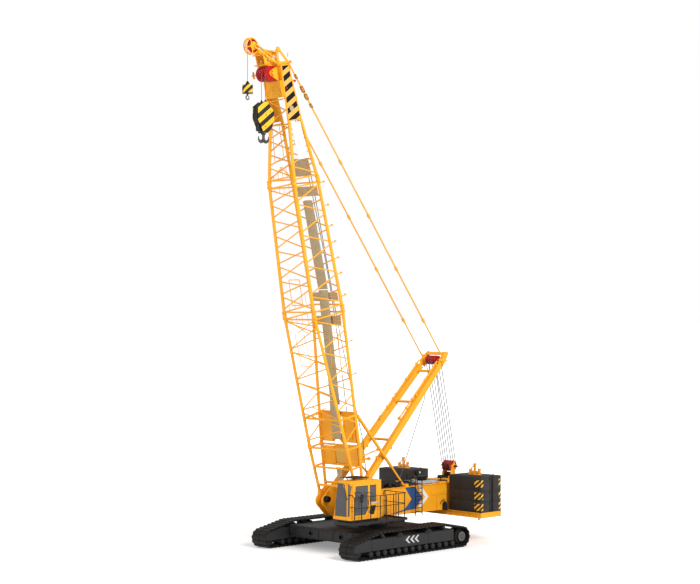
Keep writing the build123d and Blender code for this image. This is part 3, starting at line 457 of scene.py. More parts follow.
board_white = paint("white_board_paint", (0.80, 0.80, 0.80), 0.45, 0.05, (0.6, 0.58, 0.55), 0.15)
mark_white = paint("white_marking_paint", (0.78, 0.80, 0.84), 0.45, 0.05, (0.6, 0.6, 0.6), 0.15)
mark_blue = paint("blue_marking_paint", (0.030, 0.085, 0.235), 0.42, 0.1, (0.02, 0.04, 0.1), 0.2)
seat_cloth = paint("seat_cloth", (0.03, 0.03, 0.032), 0.85, 0.0, (0.06, 0.06, 0.06), 0.3)
rubber = paint("black_rubber", (0.018, 0.018, 0.018), 0.7, 0.0, (0.04, 0.04, 0.04), 0.2)
lamp_white = paint("lamp_lens", (0.7, 0.72, 0.74), 0.15, 0.5, (0.6, 0.6, 0.6), 0.1)
BLOCK_COLOURS = (0.92, 0.52, 0.03), (0.028, 0.028, 0.032)
block_stripes = striped("block_warning_stripes", *BLOCK_COLOURS, (0.75, 0, 1), 0.51, 0.48)
drum_stripes = striped("drum_warning_stripes", *BLOCK_COLOURS, (1, -1, 1.4), 0.30, 0.54)
weight_stripes = striped("weight_warning_stripes", (0.86, 0.47, 0.06), (0.012, 0.012, 0.012),
                         (0.77, -0.74, 1), 0.20, 0.5)

NODE_FINISHES = {
    "body_yellow": body_yellow, "boom_yellow": boom_yellow, "dark_grey": chassis_grey,
    "black": black_paint, "weights": weight_grey, "sheave_red": sheave_red, "mesh_tan": tan_mesh,
    "glass": window_glass, "rope": rope_wire, "hook_steel": forged, "board_white": board_white,
    "seat": seat_cloth,
}
for part in frame["record"]["subparts"]:
    shape = frame["nodes"][part["node"]]
    shape.data.materials.clear()
    shape.data.materials.append(NODE_FINISHES[part["material_slot"]])

# ------------------------------------------------------------ undercarriage
TRACK_Y, FRAME_FACE, SHOE_COUNT = 3.741, 4.261, 66
# columns: x, z and radius of the wheels that a track runs round, anticlockwise
TRACK_WHEELS = ((4.290, 0.552, 0.552), (2.450, 1.212, 0.300), (-2.700, 1.212, 0.300),
                (-4.160, 0.612, 0.612))


def loop_line(wheels):
    """Closed line round the wheels, as points and their cumulative lengths."""
    normals = []
    for (x0, z0, r0), (x1, z1, r1) in zip(wheels, wheels[1:] + wheels[:1]):
        lean = pi / 2 - asin((r0 - r1) / hypot(x1 - x0, z1 - z0))
        normals.append(atan2(z1 - z0, x1 - x0) - lean)
    points = []
    for i, (x, z, r) in enumerate(wheels):
        first, last = normals[i - 1], normals[i]
        while last < first:
            last += tau
        steps = max(2, int((last - first) / 0.08))
        for k in range(steps + 1):
            px, pz = polar(r, first + (last - first) * k / steps, x, z)
            points.append(Vector((px, 0, pz)))
    points.append(points[0])
    lengths = [0.0]
    for a, b in zip(points, points[1:]):
        lengths.append(lengths[-1] + (b - a).length)
    return points, lengths


def loop_place(line, along):
    """Point on the loop and its direction of travel."""
    points, lengths = line
    i = max(k for k, length in enumerate(lengths[:-1]) if length <= along)
    step = points[i + 1] - points[i]
    return points[i] + step * ((along - lengths[i]) / step.length), step.normalized()


def repeat(mesh, places):
    """Adds a pattern once at each place."""
    for place in places:
        known = len(work.verts)
        work.from_mesh(mesh)
        work.verts.ensure_lookup_table()
        bmesh.ops.transform(work, matrix=place, verts=work.verts[known:])
    bpy.data.meshes.remove(mesh)


def prism(place, outline, thick):
    """Solid between an outline and its copy, thick apart along the place's z."""
    low, high = ([work.verts.new(place @ Vector((x, y, z))) for x, y in outline] for z in (0, thick))
    work.faces.new(low)
    work.faces.new(high[::-1])
    for i in range(len(outline)):
        work.faces.new((low[i - 1], low[i], high[i], high[i - 1]))


# one shoe lies in its own x (along the track) and z (outward), its y across the machine
SHOE_OUTLINE = ((-0.140, -0.085), (0.140, -0.085), (0.140, -0.058), (0.095, -0.048), (0.080, 0.0),
                (-0.080, 0.0), (-0.095, -0.048), (-0.140, -0.058))
HERE = Matrix.Identity(4)
track_line = loop_line(TRACK_WHEELS)
places = []
for i in range(SHOE_COUNT):
    point, heading = loop_place(track_line, track_line[1][-1] * i / SHOE_COUNT)
    outward = heading.cross(ACROSS) * -1
    if outward.dot(point - Vector((0, 0, 0.7))) < 0:
        outward = outward * -1
    turn = Matrix((heading, outward.cross(heading), outward)).transposed().to_4x4()
    places.append(Matrix.Translation(point) @ turn)
for name, hand in (("left", 1), ("right", -1)):
    for y0, y1 in ((-0.596, -0.02), (0.02, 0.596)):
        prism(seat(ACROSS * y1, AHEAD, -ACROSS), SHOE_OUTLINE, y1 - y0)
    for y in (-0.20, 0.20):
        brick((-0.150, 0.150), about(y, 0.055), (-0.150, -0.075), 0, HERE)
    for y in (-0.36, 0.36):
        brick((-0.075, 0.075), about(y, 0.03), (-0.120, -0.080), 0, HERE)
    cross_bar(Vector((0.15, 0, -0.105)), -0.27, 0.27, 0.03, 6)
    shoe = close_mesh("shoe")
    repeat(shoe, [Matrix.Translation((SLEW_X, hand * TRACK_Y, 0)) @ p for p in places])
    piece(f"track_shoes_{name}", shoe_steel, UNDER, 25, f"track_{name}")

# drive sprockets with teeth, a drum and a stepped gearbox cover with its bolts
SPROCKET_X, SPROCKET_Z, COVER_Y = -4.16, 0.62, TRACK_Y + 0.5
TOOTH = ((0.405, -0.075), (0.462, -0.035), (0.462, 0.035), (0.405, 0.075))
teeth = [polar(r, tau * i / 22 + turn) for i in range(22) for r, turn in TOOTH]
for hand in BOTH:
    for y in (-0.29, 0.20):
        plate(side_of((SPROCKET_X, hand * TRACK_Y + y, SPROCKET_Z)), teeth, 0.09)
    turned(side_of((SPROCKET_X, hand * TRACK_Y, SPROCKET_Z)), [
        (0, -0.5), (0.28, -0.5), (0.30, -0.47), (0.30, -0.36), (0.385, -0.33),
        (0.385, 0.33), (0.30, 0.36), (0.30, 0.47), (0.28, 0.5), (0, 0.5)], 32)
piece("sprocket_wheels", shoe_steel, UNDER, instead_of="drive_sprockets")
for hand in BOTH:
    turned(side_of((SPROCKET_X, hand * COVER_Y, SPROCKET_Z), hand), [
        (0, 0.065), (0.10, 0.065), (0.115, 0.045), (0.20, 0.045), (0.215, 0.025), (0.27, 0.02),
        (0.29, 0.0), (0.29, -0.03)], 32)
gearbox_grey = paint("gearbox_grey_paint", (0.075, 0.075, 0.078), 0.42, 0.1, (0.05, 0.045, 0.04), 0.3)
piece("sprocket_covers", gearbox_grey, UNDER)
for hand in BOTH:
    for i in range(16):
        x, z = polar(0.245, tau * i / 16, SPROCKET_X, SPROCKET_Z)
        cross_bar((x, hand * COVER_Y, z), hand * 0.018, hand * 0.036, 0.014, 6)
piece("sprocket_cover_bolts", bare_steel, UNDER)

# side frames: caps of the bottom rollers, seams, carrier brackets, arrows
for hand in BOTH:
    for i in range(13):
        turned(side_of((-3.36 + 0.56 * i, hand * FRAME_FACE, 0.30), hand), [
            (0, 0.055), (0.045, 0.055), (0.055, 0.04), (0.10, 0.03), (0.125, 0.0), (0.125, -0.02)], 14)
piece("roller_end_caps", chassis_grey, UNDER)
SEAM_Y, BRACKET_Y = (FRAME_FACE, FRAME_FACE + 0.006), (FRAME_FACE - 0.16, FRAME_FACE + 0.035)
for x in (3.28, 1.63, -1.27):
    pair(about(x, 0.014), SEAM_Y, (0.475, 1.125))
for z in (0.475, 1.105):
    pair((-3.42, 3.44), SEAM_Y, (z, z + 0.02))
piece("side_frame_seams", black_paint, UNDER)
for x in (1.03, -1.28):
    pair(about(x, 0.27), BRACKET_Y, (1.06, 1.24), 0.03)
    pair(about(x, 0.15), BRACKET_Y, (1.20, 1.33), 0.03)
for x in (2.40, -2.65):
    pair(about(x, 0.13), BRACKET_Y, (1.10, 1.24), 0.02)
piece("carrier_brackets", black_paint, UNDER)
for hand in BOTH:
    for x in (0.46, 0.08, -0.28):
        side_plate(FRAME_FACE + 0.001, hand, [
            (x + 0.14, 0.86), (x - 0.12, 1.06), (x - 0.24, 1.06), (x - 0.02, 0.86),
            (x - 0.24, 0.66), (x - 0.12, 0.66)], 0.004)
arrow_white = paint("white_arrow_paint", (0.62, 0.63, 0.65), 0.5, 0.05, (0.2, 0.2, 0.2), 0.3)
piece("side_frame_arrows", arrow_white, UNDER)

# carbody: top plate, ribs, rims of the tow bores, bolted frame round the slewing ring
brick((-2.88, 2.88), (-3.05, 3.05), (1.275, 1.298), 0.008)
for end in BOTH:
    for y in (-2.3, -0.62, 0.62, 2.3):
        brick((end * 2.895, end * 2.93), about(y, 0.02), (0.66, 1.26), 0.006)
    for z in (0.622, 1.245):
        brick((end * 2.885, end * 2.94), (-3.05, 3.05), (z, z + 0.03), 0.006)
for hand in BOTH:
    turned(seat(at(2.9, hand * 1.29, 0.94), ACROSS, AHEAD), [
        (0.122, 0.0), (0.122, 0.03), (0.135, 0.04), (0.165, 0.04), (0.175, 0.03), (0.175, 0.0)], 28, True)
turned(upright((0, 0, 1.28)), [(1.42, 0.0), (1.42, 0.07), (1.46, 0.075), (1.60, 0.05), (1.62, 0.0)], 56, True)
piece("carbody_trim", chassis_grey, UNDER)
for i in range(48):
    x, y = polar(1.53, tau * i / 48)
    tube((x, y, 1.34), (x, y, 1.38), 0.022, 6)
for i in range(12):
    y = -2.9 + i * 0.52
    tube((2.92, y, 1.18), (2.96, y, 1.18), 0.02, 6)
for hand in BOTH:
    for z in (0.80, 1.08):
        bent_bar([(x, hand * y, z) for x, y in ((2.9, 2.55), (3.06, 2.55), (3.06, 2.95), (2.9, 2.95))], 0.018)
piece("carbody_bolts_and_steps", black_paint, UNDER)

# ----------------------------------------------------------- superstructure
# girders: flanges, upright ribs, seams and lugs
for zs in ((3.435, 3.468), (1.862, 1.892)):
    pair((-6.09, 0.55), (1.02, 1.49), zs, 0.006)
for x in (-6.06, -4.95, -1.02, 0.40):
    pair(about(x, 0.018), (1.45, 1.485), (1.88, 3.45), 0.006)
pair((-5.9, -4.5), (1.45, 1.47), (2.78, 3.1), 0.012)
pair((-0.85, 0.25), (1.45, 1.47), (2.05, 2.5), 0.012)
piece("girder_flanges", body_yellow, SUPER)

# blue and white arrow fields on the girders' outer faces, X from the slewing axis and Z
BLUE_FIELD = ((-0.10, 1.90), (-1.10, 1.925), (-2.30, 2.06), (-3.08, 2.10), (-3.74, 2.74), (-3.04, 3.43),
              (-2.22, 3.43), (-2.78, 2.70), (-2.16, 2.14), (-1.10, 1.97))
WHITE_FIELD = ((-3.34, 3.43), (-3.60, 3.43), (-4.24, 2.74), (-3.52, 2.13), (-3.26, 2.13), (-3.96, 2.74))
for name, field, finish, slot in (("blue_arrow_fields", BLUE_FIELD, mark_blue, "body_yellow"),
                                  ("white_arrow_fields", WHITE_FIELD, mark_white, "board_white")):
    for hand in BOTH:
        side_plate(1.4508, hand, field, 0.003)
    piece(name, finish, SUPER)

# hood over the engine: silver panels, a yellow cover, a black air box, lamp, pipes
brick((-5.75, -5.00), (0.20, 1.00), (3.46, 3.57), 0.02)
brick((-4.98, -4.15), (-1.0, 1.0), (3.478, 3.55), 0.02)
for y in (-0.5, 0.5):
    brick((-4.86, -4.27), about(y, 0.3), (3.545, 3.562), 0.008)
piece("hood_panels", silver_panel, SUPER)
brick((-5.95, -5.30), (1.10, 1.40), (3.46, 3.56), 0.02)
piece("hood_yellow_covers", body_yellow, SUPER)
brick((-5.72, -5.25), (-0.55, -0.1), (3.46, 3.78), 0.03)
brick((-6.08, -5.80), (0.72, 1.30), (3.47, 3.62), 0.03)
for x in (-5.6, -5.48, -5.36):
    brick(about(x, 0.02), (-0.56, -0.09), (3.5, 3.74), 0.005)
turned(upright((-4.6, -0.7, 3.54)), [(0, 0.5), (0.07, 0.5), (0.09, 0.47), (0.09, 0.02), (0.13, 0.0)], 20)
piece("air_boxes", black_paint, SUPER)
turned(seat(at(-6.77, -1.77, 3.80), ACROSS, AHEAD), [
    (0, 0.09), (0.05, 0.08), (0.085, 0.05), (0.085, -0.05), (0.05, -0.07), (0, -0.07)], 20)
piece("work_lamp_lens", lamp_white, SUPER)
for lift, y in ((0.34, 1.20), (0.26, 1.05), (0.42, 1.32), (0.30, 0.9)):
    curve([(-1.9, y, 3.30), (-2.0, y, 3.46 + lift * 0.8), (-2.5, y + 0.05, 3.46 + lift),
           (-3.1, y, 3.46 + lift * 0.7), (-3.25, y - 0.1, 3.44)], 0.028)
for y, z in ((0.8, 3.36), (0.55, 3.42), (0.25, 3.40), (-0.2, 3.44), (-0.6, 3.38)):
    curve([(0.45, y, 2.9), (0.2, y, z + 0.05), (-0.5, y + 0.1, z + 0.16), (-1.3, y, z + 0.1),
           (-1.9, y, z - 0.05), (-2.5, y, 3.1)], 0.034)
piece("hydraulic_hoses", rubber, SUPER)

# hoist winches: ropes laid on the drums, flanges with rims, motors
DRUM_Z = 2.78
for x, drum in ((-0.35, "front_drum"), (-1.75, "rear_drum")):
    laps = []
    for y in (-0.85 + 0.05 * i for i in range(34)):
        laps += [(0.423, y), (0.448, y + 0.012), (0.448, y + 0.034), (0.423, y + 0.046)]
    turned(side_of((x, 0, DRUM_Z)), [(0.421, -0.855), *laps, (0.421, 0.852)], 24)
    piece(f"{drum}_rope", rope_wire, drum)
    for y in (-0.90, 0.862):
        turned(side_of((x, y, DRUM_Z)), [(0.475, -0.004), (0.515, -0.004), (0.522, 0.004),
                                         (0.522, 0.034), (0.515, 0.042), (0.475, 0.042)], 40, True)
    piece(f"{drum}_rims", black_paint, drum)
for x in (-0.35, -1.75):
    turned(side_of((x, 0.945, DRUM_Z)), [(0, 0.09), (0.14, 0.09), (0.16, 0.07), (0.20, 0.0)], 24)
    brick(about(x, 0.24), (-1.0, -0.945), (3.0, 3.15), 0.01)
piece("winch_motors", chassis_grey, SUPER)

# counterweights: bevelled slabs with a recess down the middle of the outer face
STACK_FRONT, STACK_REAR, STACK_IN, STACK_OUT = -5.754, -7.569, 1.743, 4.328
SLABS = ((1.8503, 2.530), (2.530, 3.180), (3.180, 4.009))
for name, hand in (("left", 1), ("right", -1)):
    for z0, z1 in SLABS:
        for x0, x1, out in ((STACK_REAR, -6.86, STACK_OUT), (-6.88, -6.47, STACK_OUT - 0.10),
                            (-6.49, STACK_FRONT, STACK_OUT)):
            brick((x0, x1), (hand * STACK_IN, hand * out), (z0, z1 - 0.003), 0.018)
    piece(f"counterweight_slabs_{name}", weight_grey, SUPER,
          instead_of=f"counterweights_{name}")
# stripes at the stacks' corners; the front of the right one stays plain
STRIPE_Y = (STACK_OUT - 0.52, STACK_OUT - 0.02)
for z0, z1 in SLABS:
    zs = about((z0 + z1) / 2, 0.21)
    brick((STACK_FRONT, STACK_FRONT + 0.003), STRIPE_Y, zs)
    pair((STACK_REAR - 0.003, STACK_REAR), STRIPE_Y, zs)
    for xs in ((STACK_FRONT - 0.21, STACK_FRONT - 0.02), (STACK_REAR + 0.02, STACK_REAR + 0.21)):
        pair(xs, (STACK_OUT, STACK_OUT + 0.003), zs)
piece("counterweight_stripes", weight_stripes, SUPER)
for z in (1.9903, 2.37, 3.02, 3.849):
    for hand in BOTH:
        turned(side_of((-6.60, hand * (STACK_OUT - 0.10), z), hand), [
            (0, 0.085), (0.05, 0.085), (0.065, 0.07), (0.065, 0.02), (0.10, 0.02), (0.10, -0.01)], 16)
for z0, z1 in SLABS:
    pair((STACK_FRONT - 0.01, STACK_FRONT + 0.002), (2.66, 2.68), (z0 + 0.01, z1 - 0.01))
piece("counterweight_lugs", black_paint, SUPER)
pair((STACK_REAR + 0.3, STACK_FRONT - 0.3), (STACK_IN + 0.25, STACK_OUT - 0.25), (4.006, 4.022), 0.006)
for hand in BOTH:
    for x in (-7.3, -6.0):
        for y in (STACK_IN + 0.4, STACK_OUT - 0.4):
            tube((x, hand * y, 4.0), (x, hand * y, 4.06), 0.05, 14)
piece("counterweight_top_plates", weight_grey, SUPER)
for zs in ((1.54, 1.575), (1.822, 1.856)):
    for xs in ((STACK_FRONT - 0.01, STACK_FRONT + 0.035), (STACK_REAR - 0.035, STACK_REAR + 0.01)):
        brick(xs, (-4.336, 4.336), zs, 0.003)
    pair((STACK_REAR - 0.035, STACK_FRONT + 0.035), (4.320, 4.336), zs, 0.003)
for i in range(6):
    pair((STACK_FRONT - 0.002, STACK_FRONT + 0.026), about(1.55 + i * 0.5, 0.012), (1.56, 1.84), 0.004)
for hand in BOTH:
    tube((-6.0, hand * 3.95, 1.40), (-6.0, hand * 3.95, 1.56), 0.06, 14)
piece("tray_lips_and_ribs", body_yellow, SUPER)

# rear: hydraulic cylinders on the tray beam, with hoses
for hand in BOTH:
    turned(upright((-5.54, hand * 1.60, 1.85)), [
        (0, 0.50), (0.09, 0.50), (0.09, 0.44), (0.13, 0.42), (0.13, 0.06), (0.16, 0.06), (0.16, 0)], 20)
    curve([(-5.54, hand * 1.60, 2.34), (-5.50, hand * 1.56, 2.46), (-5.35, hand * 1.50, 2.40),
           (-5.25, hand * 1.46, 2.20)], 0.022)
piece("stack_cylinders", black_paint, SUPER)

# luffing block: sheaves between star plates on a base
LUFF_X, LUFF_Z = -7.64, 4.29
turned(side_of((LUFF_X, 0, LUFF_Z)), grooved(0.34, 0.328, 5), 32)
piece("luffing_block_pack", sheave_red, "rear_sheaves", instead_of="luffing_block_sheaves")
for hand in BOTH:
    place = side_of((LUFF_X, hand * 0.372, LUFF_Z), hand)
    plate(place, [(x * 0.78, y) for x, y in star(0.43, 0.13)], 0.03)
    turned(place, [(0, 0.06), (0.10, 0.06), (0.12, 0.04), (0.12, 0.0)], 20)
pair((-7.78, -7.20), (0.30, 0.42), (3.555, 3.70), 0.01)
piece("luffing_block_star_plates", body_yellow, SUPER)
for hand in BOTH:
    cross_bar((LUFF_X, 0, LUFF_Z), hand * 0.30, hand * 0.56, 0.065, 16)
    cross_bar((LUFF_X, 0, LUFF_Z), hand * 0.56, hand * 0.72, 0.065, 16, 0.03)
    cross_bar((LUFF_X + 0.36, 0, LUFF_Z - 0.16), hand * 0.36, 0, 0.03, 8)
brick((-7.75, -7.25), (-0.29, 0.29), (3.56, 3.72), 0.02)
for y in (-0.2, 0.0, 0.2):
    brick((-7.62, -7.42), about(y, 0.03), (3.70, 3.93), 0.01)
piece("luffing_block_axle_and_base", black_paint, SUPER)

# lifting brackets: ears on the posts
for middle in (3.0355, -3.0355):
    for offset, z in ((0, 4.64), (-0.36, 4.27), (0.36, 4.34)):
        tube((-6.75, middle + offset, z), (-6.57, middle + offset, z), 0.07, 14)
    tube((-6.6615, middle - 0.36, 4.33), (-6.6615, middle, 4.62), 0.03, 8)
    brick((-6.80, -6.52), about(middle, 0.5), (4.01, 4.04), 0.008)
piece("lifting_bracket_ears", body_yellow, SUPER)

# ladder: hooped top; walkway: kick plates and ribs; handrails: feet and end rails
for x in (-2.72, -3.27):
    curve([(x, 1.85, 3.76), (x, 1.82, 3.95), (x, 1.64, 4.03), (x, 1.48, 3.93), (x, 1.44, 3.48)], 0.026)
for i in range(7):
    brick((-3.26, -2.73), (1.815, 1.885), about(1.99 + 0.225 * i, 0.016), 0.006)
piece("ladder_hoops_and_treads", black_paint, SUPER)
KICK_Z = (1.852, 2.00)
brick((-0.46, 3.85), (3.36, 3.377), KICK_Z, 0.003)
brick((3.85, 3.863), (1.75, 3.375), KICK_Z, 0.003)
brick((-0.468, -0.455), (1.46, 3.375), KICK_Z, 0.003)
for x in (-0.3, 0.6, 1.6, 2.6, 3.5):
    brick(about(x, 0.03), (1.50, 3.30), (1.74, 1.852), 0.006)
piece("walkway_kick_plates", chassis_grey, SUPER)
RAIL_Y, RAIL_Z, LOW_RAIL_Z = 3.343, 3.42, 2.81
for x in (3.77, 3.21, 2.49, 1.72, 1.22, 0.64, 0.24, -0.26):
    brick(about(x, 0.06), (3.29, 3.385), (1.905, 1.93), 0.004)
curve([(-0.26, RAIL_Y, RAIL_Z), (-0.36, 3.30, RAIL_Z), (-0.40, 3.18, RAIL_Z), (-0.40, 1.8, RAIL_Z),
       (-0.40, 1.56, 3.40), (-0.40, 1.47, 3.2)], 0.022)
swept([(-0.40, 3.25, LOW_RAIL_Z), (-0.40, 1.47, LOW_RAIL_Z)], 0.02)
for y in (2.5, 1.6):
    tube((-0.40, y, 1.91), (-0.40, y, RAIL_Z), 0.024, 8)
# hooped grab rail on the walkway's front edge
curve([(3.82, 2.70, 1.91), (3.82, 2.70, 2.9), (3.83, 2.70, 3.40), (3.84, 2.80, 3.56), (3.86, 3.05, 3.58),
       (3.84, 3.24, 3.56), (3.80, 3.32, RAIL_Z)], 0.026)
swept([(3.84, 2.70, 2.92), (3.85, 3.0, 2.91), (3.80, 3.32, 2.90)], 0.02)
for z in (RAIL_Z, LOW_RAIL_Z):
    swept([(3.77, RAIL_Y, z), (3.80, 3.30, z)], 0.02)
# mirror on its arm
curve([(3.60, 3.14, 3.70), (3.45, 3.33, 3.72), (3.30, 3.40, 3.68), (3.22, 3.41, 3.5)], 0.018)
curve([(3.21, RAIL_Y, RAIL_Z), (3.0, 3.36, 3.62), (2.7, 3.36, 3.66), (2.35, 3.34, 3.60)], 0.016)
brick((3.14, 3.36), (3.37, 3.43), (3.14, 3.60), 0.03)
piece("handrail_fittings", black_paint, SUPER)

# cab: roof guard, slanting pillar, glass round the corner, sill, seams, wiper
CAB_FACE, CAB_SIDE = 3.864, 3.078
for y in (1.77, 2.30, 2.83):
    brick((2.15, 3.40), about(y, 0.03), (4.44, 4.48), 0.005)
for i in range(9):
    brick(about(2.18 + i * 0.15, 0.05), (1.77, 2.83), (4.462, 4.482), 0.004)
for x in (2.3, 3.25):
    for y in (2.20, 2.80):
        brick(about(x, 0.02), about(y, 0.02), (4.34, 4.45), 0.004)
piece("cab_roof_guard", black_paint, SUPER)
cab_front = seat(at(CAB_FACE + 0.0005, 0, 0), ACROSS, AHEAD)
for outline in (((2.90, 4.18), (3.06, 4.18), (3.066, 3.46), (3.03, 2.36), (2.875, 2.36), (2.90, 3.46)),
                ((2.08, 4.20), (2.54, 4.20), (2.80, 3.46), (2.79, 2.36), (1.82, 2.36), (1.90, 3.2))):
    plate(cab_front, outline, 0.004)
side_plate(CAB_SIDE + 0.0005, 1, [(3.86, 4.10), (3.74, 4.10), (3.845, 3.50)], 0.004)
piece("cab_corner_glass", window_glass, SUPER)
plate(cab_front, [
    (2.52, 4.13), (2.93, 4.13), (2.905, 3.46), (2.885, 2.34), (2.80, 2.34), (2.815, 3.46)], 0.012)
brick((CAB_FACE - 0.01, CAB_FACE + 0.035), (1.70, 3.10), (2.13, 2.32), 0.015)
CAB_SKIN = (CAB_SIDE - 0.01, CAB_SIDE + 0.004)
brick((1.38, CAB_FACE + 0.035), CAB_SKIN, (2.13, 2.25), 0.01)
brick((1.37, CAB_FACE + 0.02), (2.15, CAB_SKIN[1]), (4.20, 4.30), 0.02)
brick((1.66, 1.70), CAB_SKIN, (2.38, 4.15), 0.005)
piece("cab_pillar_and_sill", body_yellow, SUPER)
swept([(3.885, 2.62, 4.08), (3.89, 2.70, 3.80), (3.89, 2.84, 3.30)], 0.02, 6)
swept([(3.885, 2.66, 4.10), (3.88, 2.60, 4.10)], 0.03, 6)
brick((3.868, 3.90), (2.78, 2.90), (3.31, 3.35), 0.006)
# slanted window behind the door, the one above it framed in rubber
side_plate(CAB_SIDE + 0.0005, 1, [
    (1.79, 2.87), (2.22, 2.87), (2.36, 2.46), (2.17, 2.36), (1.98, 2.36)], 0.004)
for xs, zs in (((1.80, 1.83), (3.09, 4.03)), ((2.26, 2.29), (3.09, 4.03)), ((1.80, 2.29), (3.08, 3.11)),
               ((1.80, 2.29), (4.01, 4.04))):
    brick(xs, about(CAB_SIDE, 0.005), zs, 0.003)
piece("cab_wiper_and_rubbers", rubber, SUPER)
brick((1.45, 2.35), (CAB_SIDE, CAB_SIDE + 0.005), (3.0, 3.045), 0.002)
piece("cab_slide_rail", silver_panel, SUPER)

# door: window edges slant with its frame, rubber round it, handle
DOOR_FACE = 3.124
WINDOW = ((3.46, 4.04), (2.53, 4.04), (2.45, 3.0), (2.53, 2.70), (2.72, 2.41), (3.60, 2.41))
for outline in (((2.52, 4.04), (2.40, 4.15), (2.40, 2.95), (2.45, 3.0)),
                ((2.45, 3.0), (2.40, 2.95), (2.40, 2.29), (2.72, 2.41), (2.53, 2.70)),
                ((3.60, 2.41), (3.715, 2.29), (3.715, 4.15), (3.46, 4.04))):
    side_plate(DOOR_FACE, 1, outline, 0.004)
piece("door_slanted_edges", body_yellow, "door")
RUBBER_Y, HANDLE_Y = DOOR_FACE + 0.003, DOOR_FACE + 0.03
for (x0, z0), (x1, z1) in zip(WINDOW, WINDOW[1:] + WINDOW[:1]):
    tube((x0, RUBBER_Y, z0), (x1, RUBBER_Y, z1), 0.010, 6)
swept([(2.50, y, z) for y, z in (
    (RUBBER_Y, 3.24), (HANDLE_Y, 3.24), (HANDLE_Y, 2.98), (RUBBER_Y, 2.98))], 0.012, 6)
piece("door_window_rubber_and_handle", rubber, "door")

# inside: steering console and levers
brick((3.25, 3.55), (2.25, 2.75), (2.28, 2.85), 0.04)
for y in (2.05, 2.75):
    brick((2.35, 2.95), about(y, 0.06), (2.28, 2.85), 0.03)
    tube((2.85, y, 2.84), (2.88, y, 3.05), 0.015, 8)
    turned(upright((2.88, y, 3.03)), [(0, 0.09), (0.03, 0.08), (0.035, 0.03), (0.02, 0)], 12)
piece("cab_console_and_levers", rubber, SUPER)

# hoses and filters over the engine bay; columns: y, X of both ends, height of the middle, radius
for y, x0, x1, z, r in ((1.18, -0.45, -1.75, 3.80, 0.075), (1.00, -0.55, -1.95, 3.86, 0.085),
                        (0.80, -0.70, -1.6, 3.74, 0.07), (0.55, -0.9, -2.1, 3.66, 0.07),
                        (-0.9, -0.6, -1.9, 3.76, 0.08)):
    curve([(x0, y, 3.44), (x0 - 0.12, y, z - 0.1), ((x0 + x1) / 2, y * 0.97, z),
           (x1 + 0.12, y, z - 0.12), (x1, y, 3.44)], r)
for x, y in ((-0.75, 0.95), (-1.25, 1.12), (-1.6, 0.85)):
    turned(upright((x, y, 3.44)), [(0, 0.34), (0.10, 0.34), (0.12, 0.30), (0.12, 0.0)], 14)
brick((-5.72, -5.42), (1.05, 1.32), (3.74, 3.94), 0.03)
tube((-5.57, 1.20, 3.44), (-5.57, 1.20, 3.76), 0.03, 8)
piece("deck_hose_bundle", rubber, SUPER)

# --------------------------------------------------------------------- boom
CORNERS = ((1, 1), (1, -1), (-1, -1), (-1, 1))


def box_frame(s, radius, faces=(0, 1, 2, 3)):
    """Square of tubes round the boom, from chord to chord."""
    for face in faces:
        a, b = corner(s, *CORNERS[face]), corner(s, *CORNERS[(face + 1) % 4])
        step = (b - a).normalized() * 0.06
        tube(a + step, b - step, radius, 8)


def on_rear(s, y, out=0.0):
    return on_boom(s, -boom_size(s)[1] - out, y)


def boom_side(y, hand):
    """Seat on a side of the boom: a plate there is drawn in s and hand * d."""
    return seat(on_boom(0, 0, hand * y), BOOM_UP, ACROSS * hand)


for s in (11.40, 11.83, 19.02, 19.45):
    box_frame(s, 0.045)
for s in (5.37, 3.56, 2.38):
    box_frame(s, 0.062)
box_frame(22.55, 0.045, (0, 1, 3))
for s, other in ((11.40, 10.6), (19.45, 20.2), (5.37, 6.1)):
    for hand in BOTH:
        tube(corner(s, 1, hand), corner(other, 1, -hand) + ACROSS * (hand * 0.9), 0.03, 8)
# pairs of pin lugs where the sections meet
for s in (11.612, 19.232):
    for front, left in CORNERS:
        for shift in (-0.17, 0.17):
            cross_bar(corner(s + shift, front, left), -0.115, 0.115, 0.085, 14)
piece("boom_frames_and_pin_lugs", boom_yellow, BOOM)

# loops of the ladder cage: two behind the front face, one at the rear, one on the right side
for s0, s1, y0, y1, front in ((8.55, 10.45, -0.85, -0.05, True), (12.2, 13.7, -0.6, 0.3, True),
                              (8.15, 10.2, 0.10, 0.85, False)):
    bent_bar([on_boom(s, boom_size(s)[2] - 0.1, y) if front else on_rear(s, y, -0.15)
              for s, y in ((s0, y0), (s1, y0), (s1, y1), (s0, y1))], 0.022, True)
# rods beside the section joints, between a frame and the first lace of the right face
for s_frame, s_front, s_rear in ((11.40, 11.29, 10.54), (11.83, 12.01, 12.72), (19.02, 18.92, 18.21),
                                 (19.45, 19.57, 20.17)):
    for share in (0.2, 0.4, 0.6, 0.8):
        tube(*(corner(s, 1, -1).lerp(corner(s, -1, -1), share)
               for s in (s_frame, s_front + (s_rear - s_front) * share)), 0.014, 6)
bent_bar([on_boom(s, d, 0.04 - boom_size(s)[0]) for s, d in ((22.5, 0.28), (22.55, -0.25), (20.5, -0.40),
                                                             (20.45, 0.33))], 0.018, True)
# guide stubs behind the left chord
for s in (18.95, 17.6, 16.4, 15.45, 14.5, 13.6, 12.3, 9.6, 7.7):
    start = corner(s, -1, 1, 0.05)
    end = start - BOOM_AHEAD * 0.32 + BOOM_UP * 0.04
    tube(start, end, 0.03, 6)
    cross_bar(end, -0.06, 0.06, 0.05, 8)
